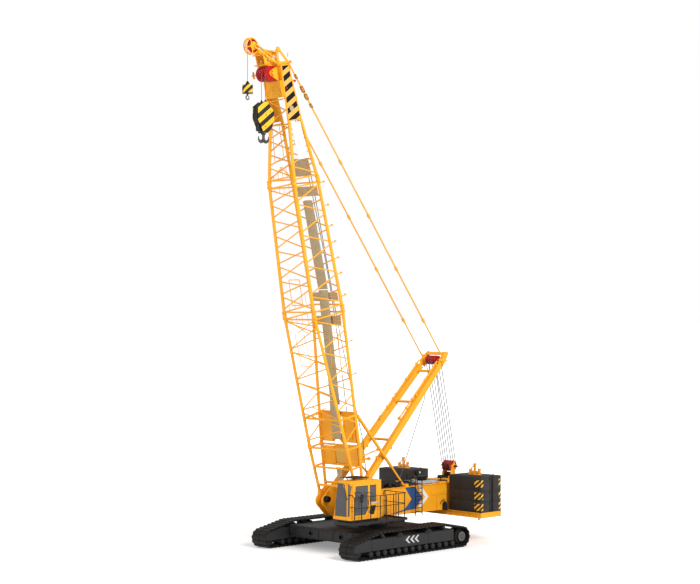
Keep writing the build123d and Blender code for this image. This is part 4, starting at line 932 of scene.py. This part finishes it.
# edges and cross bars of the mesh floors; columns: s from and to, half width
for s0, s1, half in ((6.0, 10.35, 0.27), (10.65, 11.15, 1.1), (12.05, 12.55, 1.1), (12.8, 18.0, 0.27),
                     (18.25, 18.8, 0.95), (19.45, 20.45, 0.70)):
    for y in (half, -half):
        tube(on_rear(s0, y, -0.06), on_rear(s1, y, -0.06), 0.018, 6)
    steps = max(2, int((s1 - s0) / 0.55))
    for s in (s0 + (s1 - s0) * i / steps for i in range(steps + 1)):
        tube(on_rear(s, -half, -0.06), on_rear(s, half, -0.06), 0.014, 6)
piece("boom_hoops_and_guides", boom_yellow, BOOM)

# mesh floor: broader strips up the boom, and carried on down the foot
beam(on_boom(3.95, -0.32, 0), on_boom(6.14, -0.49, 0), 0.72, 0.016, 0.003)
brick((0.95, 2.30), (-0.20, 0.20), (-0.11, -0.09), 0.003, BOOM_FLAT)
for s0, s1 in ((5.97, 12.70), (12.75, 17.98)):
    beam(on_rear(s0, 0, -0.085), on_rear(s1, 0, -0.085), 0.80, 0.016, 0.003)
piece("lower_mesh_floor", tan_mesh, BOOM)

# rear face of the foot: ribs and rounded corners of the portal plates, a guide sheave
for s0, s1 in ((2.36, 3.46), (3.74, 5.34)):
    for hand in BOTH:
        beam(on_rear(s0, hand * 0.50, -0.03), on_rear(s1, hand * 0.50, -0.03), 0.03, 0.12, 0.004)
        beam(*(on_rear(s, hand * (boom_size(s)[0] - 0.13), -0.03) for s in (s0, s1)), 0.03, 0.12, 0.004)
for s, half in ((5.36, 1.3), (5.55, 1.3), (4.24, 0.5), (3.91, 0.5), (3.45, 0.5), (2.37, 1.35)):
    beam(on_rear(s, -half, -0.03), on_rear(s, half, -0.03), 0.03, 0.12, 0.004, BOOM_UP)
for s, up in ((4.25, 1), (3.9, -1), (5.34, -1)):
    rear_up = (on_rear(s + 0.1, 0) - on_rear(s, 0)).normalized() * up
    for inward in (ACROSS, -ACROSS):
        plate(seat(on_rear(s, 0, -0.015) - inward * 0.5, inward, inward.cross(rear_up)),
              [(0, 0), (0.22, 0), (0.15, 0.05), (0.05, 0.15), (0, 0.30)], 0.03)
guide = on_rear(4.09, 1.08, 0.06)
turned(side_of(guide), [(0.05, -0.05), (0.05, 0.05), (0.19, 0.05), (0.20, 0.03), (0.17, 0.0),
                        (0.20, -0.03), (0.19, -0.05)], 28, True)
for i in range(6):
    x, z = polar(0.17, tau * i / 6)
    tube(guide, guide + Vector((x, 0, z)), 0.016, 6)
cross_bar(guide, -0.12, 0.12, 0.05, 12)
tube(on_boom(2.66, -0.9, 0.80), on_boom(2.72, -2.64, 0.80), 0.045)
for s, d in ((2.66, -1.28), (2.72, -2.64)):
    turned(side_of(on_boom(s, d, 0.80)), [
        (0.0, 0.06), (0.07, 0.06), (0.085, 0.04), (0.085, -0.04), (0.07, -0.06), (0.0, -0.06)], 16)
piece("boom_portal_ribs_and_sheave", boom_yellow, BOOM)

# rings round the auxiliary sheave's guard
for y in (-0.09, 0.09):
    place = side_of(on_boom(27.18, 1.62, y))
    swept([place @ Vector((*polar(0.442, radians(a)), 0)) for a in range(0, 361, 12)], 0.034)
piece("aux_guard_rings", boom_yellow, BOOM)

# guard of the winch in the boom's foot: mesh panels in a frame
GUARD = {(i, j, k): on_boom((2.44, 3.44)[i] - 0.25 * j, (-0.47, -1.66)[j], (-0.63, 0.63)[k])
         for i in (0, 1) for j in (0, 1) for k in (0, 1)}
GUARD_PANELS = [[GUARD[key] for key in panel] for panel in (
    ((0, 0, 0), (0, 0, 1), (1, 0, 1), (1, 0, 0)), ((0, 1, 0), (0, 1, 1), (1, 1, 1), (1, 1, 0)),
    ((1, 0, 0), (1, 0, 1), (1, 1, 1), (1, 1, 0)), ((0, 0, 0), (0, 0, 1), (0, 1, 1), (0, 1, 0)),
    ((0, 0, 1), (1, 0, 1), (1, 1, 1), (0, 1, 1)), ((0, 0, 0), (1, 0, 0), (1, 1, 0), (0, 1, 0)))]
for here, point in GUARD.items():
    for there, other in GUARD.items():
        if here < there and sum(a != b for a, b in zip(here, there)) == 1:
            tube(point, other, 0.028, 8)
for a, b, c, d in GUARD_PANELS:
    for share in (1 / 3, 2 / 3):
        tube(a.lerp(b, share), d.lerp(c, share), 0.015, 6)
tube(on_boom(2.5, -1.30, 0.63), on_boom(2.34, -2.02, 0.63), 0.06)
cross_bar(on_boom(2.34, -2.02, 0), 0.55, 0.71, 0.09, 12)
piece("winch_guard_frame", ochre_yellow, BOOM)
for a, b, c, d in GUARD_PANELS:
    place = seat(a, b - a, (b - a).cross(d - a))
    back = place.inverted()
    plate(place, [(back @ p).to_2d()[:] for p in (a, b, c, d)], 0.008)
piece("winch_guard_mesh", gold_mesh, BOOM)

# head: warning plates with a raised border
ACROSS_STRIPES, STRIPE_PITCH, DARK_SHARE = Vector((0.765, 0, 1)), 0.54, 0.53
first_stripe = ACROSS_STRIPES.normalized().dot(on_boom(25.68, 0.30, 0)) / STRIPE_PITCH
head_stripes = striped("head_warning_stripes", (0.95, 0.45, 0.10), (0.010, 0.010, 0.011), ACROSS_STRIPES,
                       STRIPE_PITCH, DARK_SHARE, DARK_SHARE / 2 - first_stripe)
HEAD_OUTLINE = ((22.74, 0.39), (25.86, 0.29), (25.86, -0.24), (22.74, -0.57))
for hand in BOTH:
    plate(boom_side(0.8005, hand), [(s, hand * d) for s, d in HEAD_OUTLINE], 0.004)
piece("head_warning_plates", head_stripes, BOOM)
for hand in BOTH:
    for a, b in zip(HEAD_OUTLINE, HEAD_OUTLINE[1:] + HEAD_OUTLINE[:1]):
        beam(on_boom(*a, hand * 0.80), on_boom(*b, hand * 0.80), 0.05, 0.05, 0.008)
    outer = hand * 0.86
    tube(on_boom(26.0, 0.56, outer), on_boom(26.0, -0.38, outer), 0.05, 12)
    for d in (0.56, -0.38):
        tube(on_boom(26.0, d - 0.03, outer), on_boom(26.0, d + 0.03, outer), 0.085, 12)
    turned(side_of(on_boom(26.80, 0.36, hand * 0.78), hand), [
        (0.0, 0.09), (0.06, 0.09), (0.075, 0.07), (0.125, 0.07), (0.135, 0.05), (0.135, 0.0)], 24)
    tube(on_boom(26.3, -0.22, outer), on_boom(26.52, -0.30, outer), 0.03, 8)
    for s in (22.9, 23.9, 24.9, 25.7):
        middle = on_boom(s, -0.62 + (s - 22.74) * 0.10, hand * 0.80)
        brick((-0.10, 0.10), (-0.02, 0.02), (0, 0.02), 0.006, seat(middle, BOOM_UP, ACROSS * hand))
piece("head_plate_borders", boom_yellow, BOOM)
turned(side_of(on_boom(24.58, 0.15, 0.804)), [(0, 0.03), (0.05, 0.03), (0.07, 0.01), (0.07, 0)], 16)
turned(side_of(on_boom(24.9, -0.52, 0.80)), [(0, 0.09), (0.05, 0.08), (0.07, 0.05), (0.07, 0)], 16)
piece("head_red_lamps", sheave_red, BOOM)
turned(side_of(on_boom(23.4, 0.0, 0.804)), [(0, 0.012), (0.15, 0.012), (0.16, 0.0)], 24)
piece("head_round_cover", tan_mesh, BOOM)

# sheaves of the head and of the auxiliary rope, keeper plates and ribs
HEAD_AXLE, AUX_AXLE = on_boom(25.515, 0.790, 0), on_boom(27.18, 1.47, 0)
turned(side_of(HEAD_AXLE), grooved(0.425, 0.43, 6, 0.07), 40)
piece("head_sheave_pack", sheave_red, "head_sheaves", instead_of="head_sheaves")
turned(side_of(AUX_AXLE), [
    (0.075, -0.06), (0.12, -0.06), (0.13, -0.025), (0.29, -0.025), (0.31, -0.055), (0.375, -0.055),
    (0.38, -0.045), (0.33, 0.0), (0.38, 0.045), (0.375, 0.055), (0.31, 0.055), (0.29, 0.025),
    (0.13, 0.025), (0.12, 0.06), (0.075, 0.06)], 44, True)
piece("aux_sheave_wheel", sheave_red, "aux_sheave", instead_of="aux_sheave")
cross_bar(HEAD_AXLE, 0.55, 0.66, 0.055, 14)
cross_bar(HEAD_AXLE, -1.08, -0.55, 0.055, 14)
for y in (0.66, -1.10):
    here = HEAD_AXLE + ACROSS * y
    place = seat(here, BOOM_UP, ACROSS)
    brick((-0.20, 0.20), (-0.06, 0.06), (-0.02, 0.02), 0.01, place)
    brick((-0.05, 0.05), (-0.14, 0.14), (-0.015, 0.025), 0.01, place)
    for shift in (-0.14, 0.14):
        cross_bar(here + BOOM_UP * shift, -0.035, 0.035, 0.03, 6)
turned(side_of(HEAD_AXLE + ACROSS * 0.472), [(0.08, 0.0), (0.08, 0.03), (0.12, 0.03), (0.12, 0.0)], 20, True)
# plate across under the sheaves: a round manhole with a rim, ribs to its corners
manhole = seat(on_boom(24.60, 0.422, 0.10), BOOM_UP, BOOM_AHEAD)
turned(manhole, [(0.15, 0.0), (0.15, 0.05), (0.19, 0.05), (0.20, 0.04), (0.20, 0.0)], 28, True)
for y in (-0.62, 0.70):
    beam(on_boom(24.12, 0.44, y), on_boom(25.03, 0.44, y), 0.025, 0.09, 0.004)
for y0, y1 in ((-0.55, -0.05), (0.62, 0.22)):
    beam(on_boom(25.0, 0.44, y1), on_boom(24.2, 0.44, y0), 0.02, 0.05, 0.004, BOOM_AHEAD)
for s0, y0, s1, y1 in ((24.0, -0.72, 23.35, 0.72), (23.35, 0.72, 22.75, -0.72), (24.0, 0.72, 23.9, -0.72)):
    tube(on_boom(s0, 0.42, y0), on_boom(s1, 0.40, y1), 0.035, 8)
piece("head_keepers_and_ribs", boom_yellow, BOOM)
# manhole cover and two thin plates over the head's cross plates, in a paler yellow: painted light on faces
# that lie in shade
turned(manhole, [(0.0, 0.006), (0.15, 0.006)], 28)
brick((24.11, 25.04), (-0.70, 0.70), (0.420, 0.425), 0.001, BOOM_FLAT)
brick((25.05, 25.86), (-0.40, 0.40), (0.270, 0.275), 0.001, BOOM_FLAT)
piece("head_manhole_painted_light", painted_light_yellow, BOOM)

# frame of the auxiliary sheave: holed side plates, chain to the lugs, thin pipe
JIB_OUTLINE = ((25.80, 0.20), (26.62, 0.12), (26.78, 0.52), (26.86, 1.02), (26.60, 1.12), (26.02, 1.08))
for hand in BOTH:
    holes = [[polar(0.13, tau * i / 18, s, hand * d) for i in range(18)]
             for s, d in ((26.32, 0.80), (26.36, 0.36))]
    plate(boom_side(0.32, hand), [(s, hand * d) for s, d in JIB_OUTLINE], 0.03, holes)
for s, d in ((25.90, 0.30), (26.65, 0.16), (26.62, 1.05), (26.05, 1.02)):
    cross_bar(on_boom(s, d, 0), -0.62, 0.62, 0.035, 8)
for i in range(9):
    sag = 0.10 * sin(pi * i / 8)
    tube(*(on_boom(27.05 - 0.30 * t - sag, 1.18 - 0.85 * t, 0.12 + 0.60 * t) for t in (i / 8, i / 8 + 0.09)),
         0.038 if i % 2 else 0.022, 6)
piece("aux_frame_plates_and_chain", boom_yellow, BOOM)
curve([on_boom(27.12, 1.09, 0.0), on_boom(26.7, 0.70, 0.04), on_boom(26.25, 0.38, 0.10),
       on_boom(25.9, -0.05, 0.15), on_boom(25.2, -0.35, 0.15)], 0.016)
piece("aux_hoist_rope", rope_dark, BOOM)

# hoist ropes down the boom's back
ROPE_FOOT = (3.54, -1.78, 0.6)
for points in (((25.3, -0.35, 0.2), (20.16, -1.19, -0.04), (12.66, -1.63, -0.04), (5.14, -1.31, 0.1),
                (3.55, -1.20, 0.2)),
               ((25.2, -0.38, 0.5), (19.3, -1.10, 0.36), (10.34, -1.45, 0.36), ROPE_FOOT)):
    curve([on_boom(*p) for p in points], 0.024, 6, 8)
piece("boom_hoist_ropes", rope_dark, BOOM)

# --------------------------------------------------------------------- mast
MAST_TIP = on_mast(MAST_LENGTH, 0, 0)
turned(side_of(MAST_TIP), grooved(0.28, 0.43, 7, 0.045), 32)
piece("mast_sheave_pack", sheave_red, "mast_sheaves", instead_of="mast_sheaves")
for hand in BOTH:
    place = seat(MAST_TIP + ACROSS * (hand * 0.84), MAST_UP, ACROSS * hand)
    plate(place, star(0.42, 0.15, radians(40)), 0.03)
    turned(place, [(0, 0.08), (0.08, 0.08), (0.10, 0.06), (0.13, 0.05), (0.13, 0)], 20)
    # stowed bar along the inside of a leg, with an eye and clamps
    bar_y = hand * 0.80
    tube(on_mast(6.60, 0.30, bar_y), on_mast(11.15, 0.30, hand * 0.78), 0.05)
    turned(seat(on_mast(6.45, 0.30, bar_y), MAST_UP, ACROSS), [
        (0.05, -0.05), (0.11, -0.05), (0.12, -0.03), (0.12, 0.03), (0.11, 0.05), (0.05, 0.05)], 18, True)
    for m in (7.3, 8.0, 9.6, 10.9):
        beam(on_mast(m, 0.16, bar_y), on_mast(m, 0.38, bar_y), 0.10, 0.06, 0.01)
        tube(on_mast(m - 0.05, 0.30, bar_y), on_mast(m + 0.05, 0.30, bar_y), 0.085, 12)
    for m, side in ((2.3, 1), (3.4, 1), (4.6, -1), (8.4, 1)):
        y = hand * mast_half(m)
        brick((-0.10, 0.10), (-0.05, 0.05), (0.0, 0.13), 0.02,
              seat(on_mast(m, side * 0.17, y), MAST_UP, MAST_AHEAD * side))
        cross_bar(on_mast(m, side * 0.29, y), -0.07, 0.07, 0.05)
    # welded end plates where the cross tubes meet the legs
    for m in (5.0, 8.05, 10.6):
        half = mast_half(m) - 0.15
        cross_bar(on_mast(m, 0, 0), hand * (half - 0.06), hand * half, 0.12, 14, 0.145)
    beam(on_mast(11.2, -0.26, hand * 0.72), on_mast(12.02, -0.10, hand * 0.72), 0.06, 0.10, 0.01)
beam(on_mast(12.0, 0.10, -0.78), on_mast(12.0, 0.10, 0.78), 0.05, 0.24, 0.01, MAST_AHEAD)
for y in (-0.66 + 0.22 * i for i in range(7)):
    tube(on_mast(12.05, 0.10, y), on_mast(12.15, 0.10, y), 0.035, 6)
cross_bar(on_mast(10.9, -0.30, 0), -0.75, 0.75, 0.05)
piece("mast_head_stars_and_bars", boom_yellow, MAST)


# pendants: links and pins near the boom's head, knots along the rest
def oval(along, length, width, sides):
    """Outline of a link's side, its middle along the pendant."""
    turns = (tau * i / sides for i in range(sides))
    return [(along + length / 2 * cos(t), width / 2 * sin(t)) for t in turns]


PENDANT_LINKS = ((0.90, 0.34, 0.13), (1.75, 0.50, 0.20), (2.25, 0.46, 0.21), (2.85, 0.34, 0.13))
PENDANTS = []
for y in (0.8453, -0.8453):
    high, low = on_boom(25.94, -0.25, y), on_mast(11.59, -0.02, y)
    PENDANTS.append((seat(high, low - high, ACROSS), high, low - high))
for flat, high, run in PENDANTS:
    for link in PENDANT_LINKS:
        for z in (-0.055, 0.03):
            plate(flat @ Matrix.Translation((0, 0, z)), oval(*link, 16), 0.025)
piece("pendant_links", ochre, MAST)
for flat, high, run in PENDANTS:
    for along, length, width in PENDANT_LINKS:
        for shift in (-0.3, 0.3):
            cross_bar(high + run.normalized() * (along + shift * length), -0.075, 0.075, 0.035)
piece("pendant_pins", black_paint, MAST)
for flat, high, run in PENDANTS:
    for share in (0.316, 0.495, 0.676, 0.857):
        plate(flat @ Matrix.Translation((0, 0, -0.05)), oval(run.length * share, 0.34, 0.15, 14), 0.10)
piece("pendant_knots", boom_yellow, MAST)

# luffing falls: between the mast's head and the block behind the deck
LUFF_CENTRE = at(LUFF_X, 0, LUFF_Z)
edge = (LUFF_CENTRE - MAST_TIP).normalized().cross(ACROSS).normalized()
if edge.x < 0:
    edge = -edge
for i in range(4):
    y_top, y_low = -0.36 + 0.24 * i, -0.27 + 0.18 * i
    swept(straight(MAST_TIP + edge * 0.27 + ACROSS * y_top, LUFF_CENTRE + edge * 0.33 + ACROSS * y_low, 14),
          0.026, 6)
    if i < 3:
        swept(straight(MAST_TIP - edge * 0.27 + ACROSS * (y_top + 0.24),
                       LUFF_CENTRE - edge * 0.31 + ACROSS * (y_low + 0.18), 14), 0.026, 6)
bending_rope("luffing_falls")
low, passing = at(-2.85, 0.25, 3.50), at(-5.15, 0.25, 8.55)
swept(straight(low, passing, 10) + straight(passing, MAST_TIP + MAST_AHEAD * 0.28, 4)[1:], 0.024, 6)
bending_rope("luffing_lead_rope")
deck_end, boom_end = at(-0.05, 0.55, 3.22), on_boom(*ROPE_FOOT)
swept(straight(boom_end, deck_end, 8), 0.024, 6)
bending_rope("hoist_rope_to_the_deck")

# ------------------------------------------------------------- hook blocks
ROPE_GAP = 0.0143
FALL_X = HEAD_AXLE.x - SLEW_X + 0.425 + ROPE_GAP
HEXAGON = ((-0.10, 25.74), (0.18, 25.74), (0.59, 25.45), (0.59, 24.72), (0.16, 24.0), (-0.24, 24.0),
           (-0.59, 24.68), (-0.59, 25.22))
for y in (0.465, 0.0):
    plate(side_of((FALL_X, y, 0)), [(x, -z) for x, z in HEXAGON], 0.035)
piece("main_block_plates", block_stripes, "main_block")
BLOCK_Z, CORE_WIDTH, CORE_HEIGHT = 24.87, 0.93, 0.95
plate(side_of((FALL_X, 0.036, 0)), [
    (x * CORE_WIDTH + 0.02, -(BLOCK_Z + (z - BLOCK_Z) * CORE_HEIGHT)) for x, z in HEXAGON], 0.428)
brick((FALL_X + 0.40, FALL_X + 0.63), (0.10, 0.40), (24.75, 25.38), 0.05)
brick((FALL_X + 0.10, FALL_X + 0.50), (0.14, 0.36), (24.08, 24.5), 0.05)
for x, z in ((0.0, 25.0), (0.05, 24.35), (-0.30, 25.2)):
    turned(side_of((FALL_X + x, 0.50, z)), [(0, 0.012), (0.03, 0.012), (0.036, 0.0)], 10)
for y in (0.09, 0.41):
    turned(upright((FALL_X, y, 25.66)), [(0.0, 0.20), (0.03, 0.20), (0.07, 0.10), (0.075, 0.0)], 14)
piece("main_block_core", black_paint, "main_block", instead_of="main_hook_block")
turned(upright((FALL_X, 0.25, 0)), [
    (0.0, 24.0), (0.13, 23.998), (0.15, 23.97), (0.15, 23.93), (0.085, 23.90), (0.075, 23.72),
    (0.10, 23.62), (0.0, 23.55)], 24)
for hand in BOTH:
    turns = [radians(-10 + 225 * i / 14) for i in range(15)]
    swept([(FALL_X + hand * (0.185 - 0.185 * cos(t)), 0.25, 23.70 - 0.185 * sin(t)) for t in turns],
          [0.070 + 0.030 * sin(pi * i / 9) if i < 9 else 0.070 - 0.0085 * (i - 8) for i in range(15)], 12)
piece("ramshorn_hook", forged, "main_hook", instead_of="main_hook")

AUX_X = AUX_AXLE.x - SLEW_X + 0.38 + ROPE_GAP
turned(upright((AUX_X, 0, 0)), [
    (0.0, 26.205), (0.295, 26.205), (0.30, 26.21), (0.30, 26.645), (0.295, 26.65), (0.0, 26.65)], 32)
piece("aux_block_drum", drum_stripes, "aux_block", instead_of="aux_hook_block")
turned(upright((AUX_X, 0, 0)), [
    (0.0, 26.16), (0.285, 26.16), (0.2995, 26.175), (0.2995, 26.205), (0.0, 26.205)], 32)
turned(upright((AUX_X, 0, 0)), [
    (0.0, 26.65), (0.13, 26.65), (0.13, 26.69), (0.05, 26.85), (0.03, 26.87), (0.0, 26.87)], 20)
piece("aux_block_ends", black_paint, "aux_block")
turned(upright((AUX_X, 0, 0)), [
    (0.0, 26.159), (0.05, 26.159), (0.06, 26.13), (0.036, 26.10), (0.034, 26.04), (0.0, 26.03)], 16)
swept([(AUX_X + 0.11 * sin(radians(a)), 0, 25.945 + 0.11 * cos(radians(a))) for a in range(0, 331, 15)],
      [0.036 - 0.016 * (i / 22) ** 3 for i in range(23)], 10)
piece("aux_hook_ring", forged, "aux_hook", instead_of="aux_hook")

# board: back frame
for s in (20.52, 22.58):
    tube(*(on_boom(s, d, boom_size(s)[0] + 0.01) for d in (-0.41, 0.25)), 0.02, 8)
for d in (-0.36, 0.20):
    tube(*(on_boom(s, d, boom_size(s)[0]) for s in (20.5, 22.6)), 0.02, 8)
piece("board_frame", boom_yellow, BOOM)

# nose plates: pins with caps, lamps
for hand in BOTH:
    turned(side_of((1.75, hand * 0.809, 2.60), -hand), [
        (0, 0.05), (0.10, 0.05), (0.12, 0.03), (0.19, 0.03), (0.20, 0.0)], 28)
piece("foot_pin_caps", body_yellow, SUPER)
turned(side_of((2.12, -0.85, 2.92)), [
    (0, 0.30), (0.13, 0.30), (0.15, 0.32), (0.18, 0.30), (0.18, 0.22), (0.15, 0.20), (0.15, 0.06),
    (0.19, 0.05), (0.19, 0.0)], 24)
turned(side_of((-6.77, -1.745, 3.80)), [(0, 0.03), (0.12, 0.03), (0.13, 0.0)], 20)
turned(side_of((-6.50, -1.745, 3.83)), [(0, 0.10), (0.14, 0.10), (0.17, 0.06), (0.17, 0.0)], 20)
piece("work_lamps", black_paint, SUPER)


# ------------------------------------------------------- floor, light, camera
def floor_finish():
    """Pale floor: it goes to plain white away from the machine."""
    finish, tree, shader, where = blank_finish("pale_floor")
    seen = node(tree, "LightPath", {})
    either = arithmetic(tree, "MAXIMUM", seen.outputs["Is Camera Ray"], seen.outputs["Is Glossy Ray"])
    far = node(tree, "VectorMath", {"operation": "LENGTH"}, where).outputs["Value"]
    level = arithmetic(tree, "MULTIPLY", span(tree, far, 8.0, 22.0, 0.26, 1.0), either)
    feed(tree, shader, Base_Color=(0.82, 0.82, 0.82), Roughness=0.9, Specular_IOR_Level=0.0,
         Emission_Color=(1, 1, 1), Emission_Strength=level)
    return finish


bmesh.ops.create_circle(work, cap_ends=True, segments=96, radius=900,
                        matrix=Matrix.Translation((0, 0, -0.002)))
floor_mesh = bpy.data.meshes.new("floor")
work.to_mesh(floor_mesh)
work.free()
floor_mesh.materials.append(floor_finish())
new_object("floor", floor_mesh)

sky = bpy.data.worlds.new("studio")
bpy.context.scene.world = sky
sky.use_nodes = True
tree = sky.node_tree
seen = node(tree, "LightPath", {})
either = arithmetic(tree, "MAXIMUM", seen.outputs["Is Camera Ray"], seen.outputs["Is Transmission Ray"])
feed(tree, tree.nodes["Background"], Strength=span(tree, either, 0, 1, 0.60, 1.0), Color=(1, 1, 1))


def lamp(name, place, energy, size):
    """Round lamp that points at the middle of the machine."""
    data = bpy.data.lights.new(name, "AREA")
    data.shape = "DISK"
    data.energy = energy
    data.size = size
    made = new_object(name, data)
    made.location = place
    made.rotation_mode = "QUATERNION"
    made.rotation_quaternion = (Vector((0, 0, 10)) - Vector(place)).to_track_quat("-Z", "Y")


lamp("key_light", (10, 60, 45), 36000, 26)
lamp("fill_light", (60, -10, 30), 9000, 30)

CAMERA_PLACE = at(73.321, 75.640, 14.740)
YAW, PITCH, ROLL = radians(226.243), radians(0.189), radians(-0.105)
LENS, SENSOR = 91.3731429, 36
look = Vector((cos(YAW) * cos(PITCH), sin(YAW) * cos(PITCH), sin(PITCH)))
right = Vector((sin(YAW), -cos(YAW), 0))
above = right.cross(look)
tilted_right = right * cos(ROLL) + above * sin(ROLL)
tilted_above = above * cos(ROLL) - right * sin(ROLL)
camera_data = bpy.data.cameras.new("camera")
camera_data.sensor_width = SENSOR
camera_data.lens = LENS
camera_data.clip_end = 2000
camera = new_object("camera", camera_data)
camera.matrix_world = Matrix.Translation(CAMERA_PLACE) @ Matrix(
    (tilted_right, tilted_above, -look)).transposed().to_4x4()
bpy.context.scene.camera = camera
bpy.context.scene.view_settings.view_transform = "Standard"
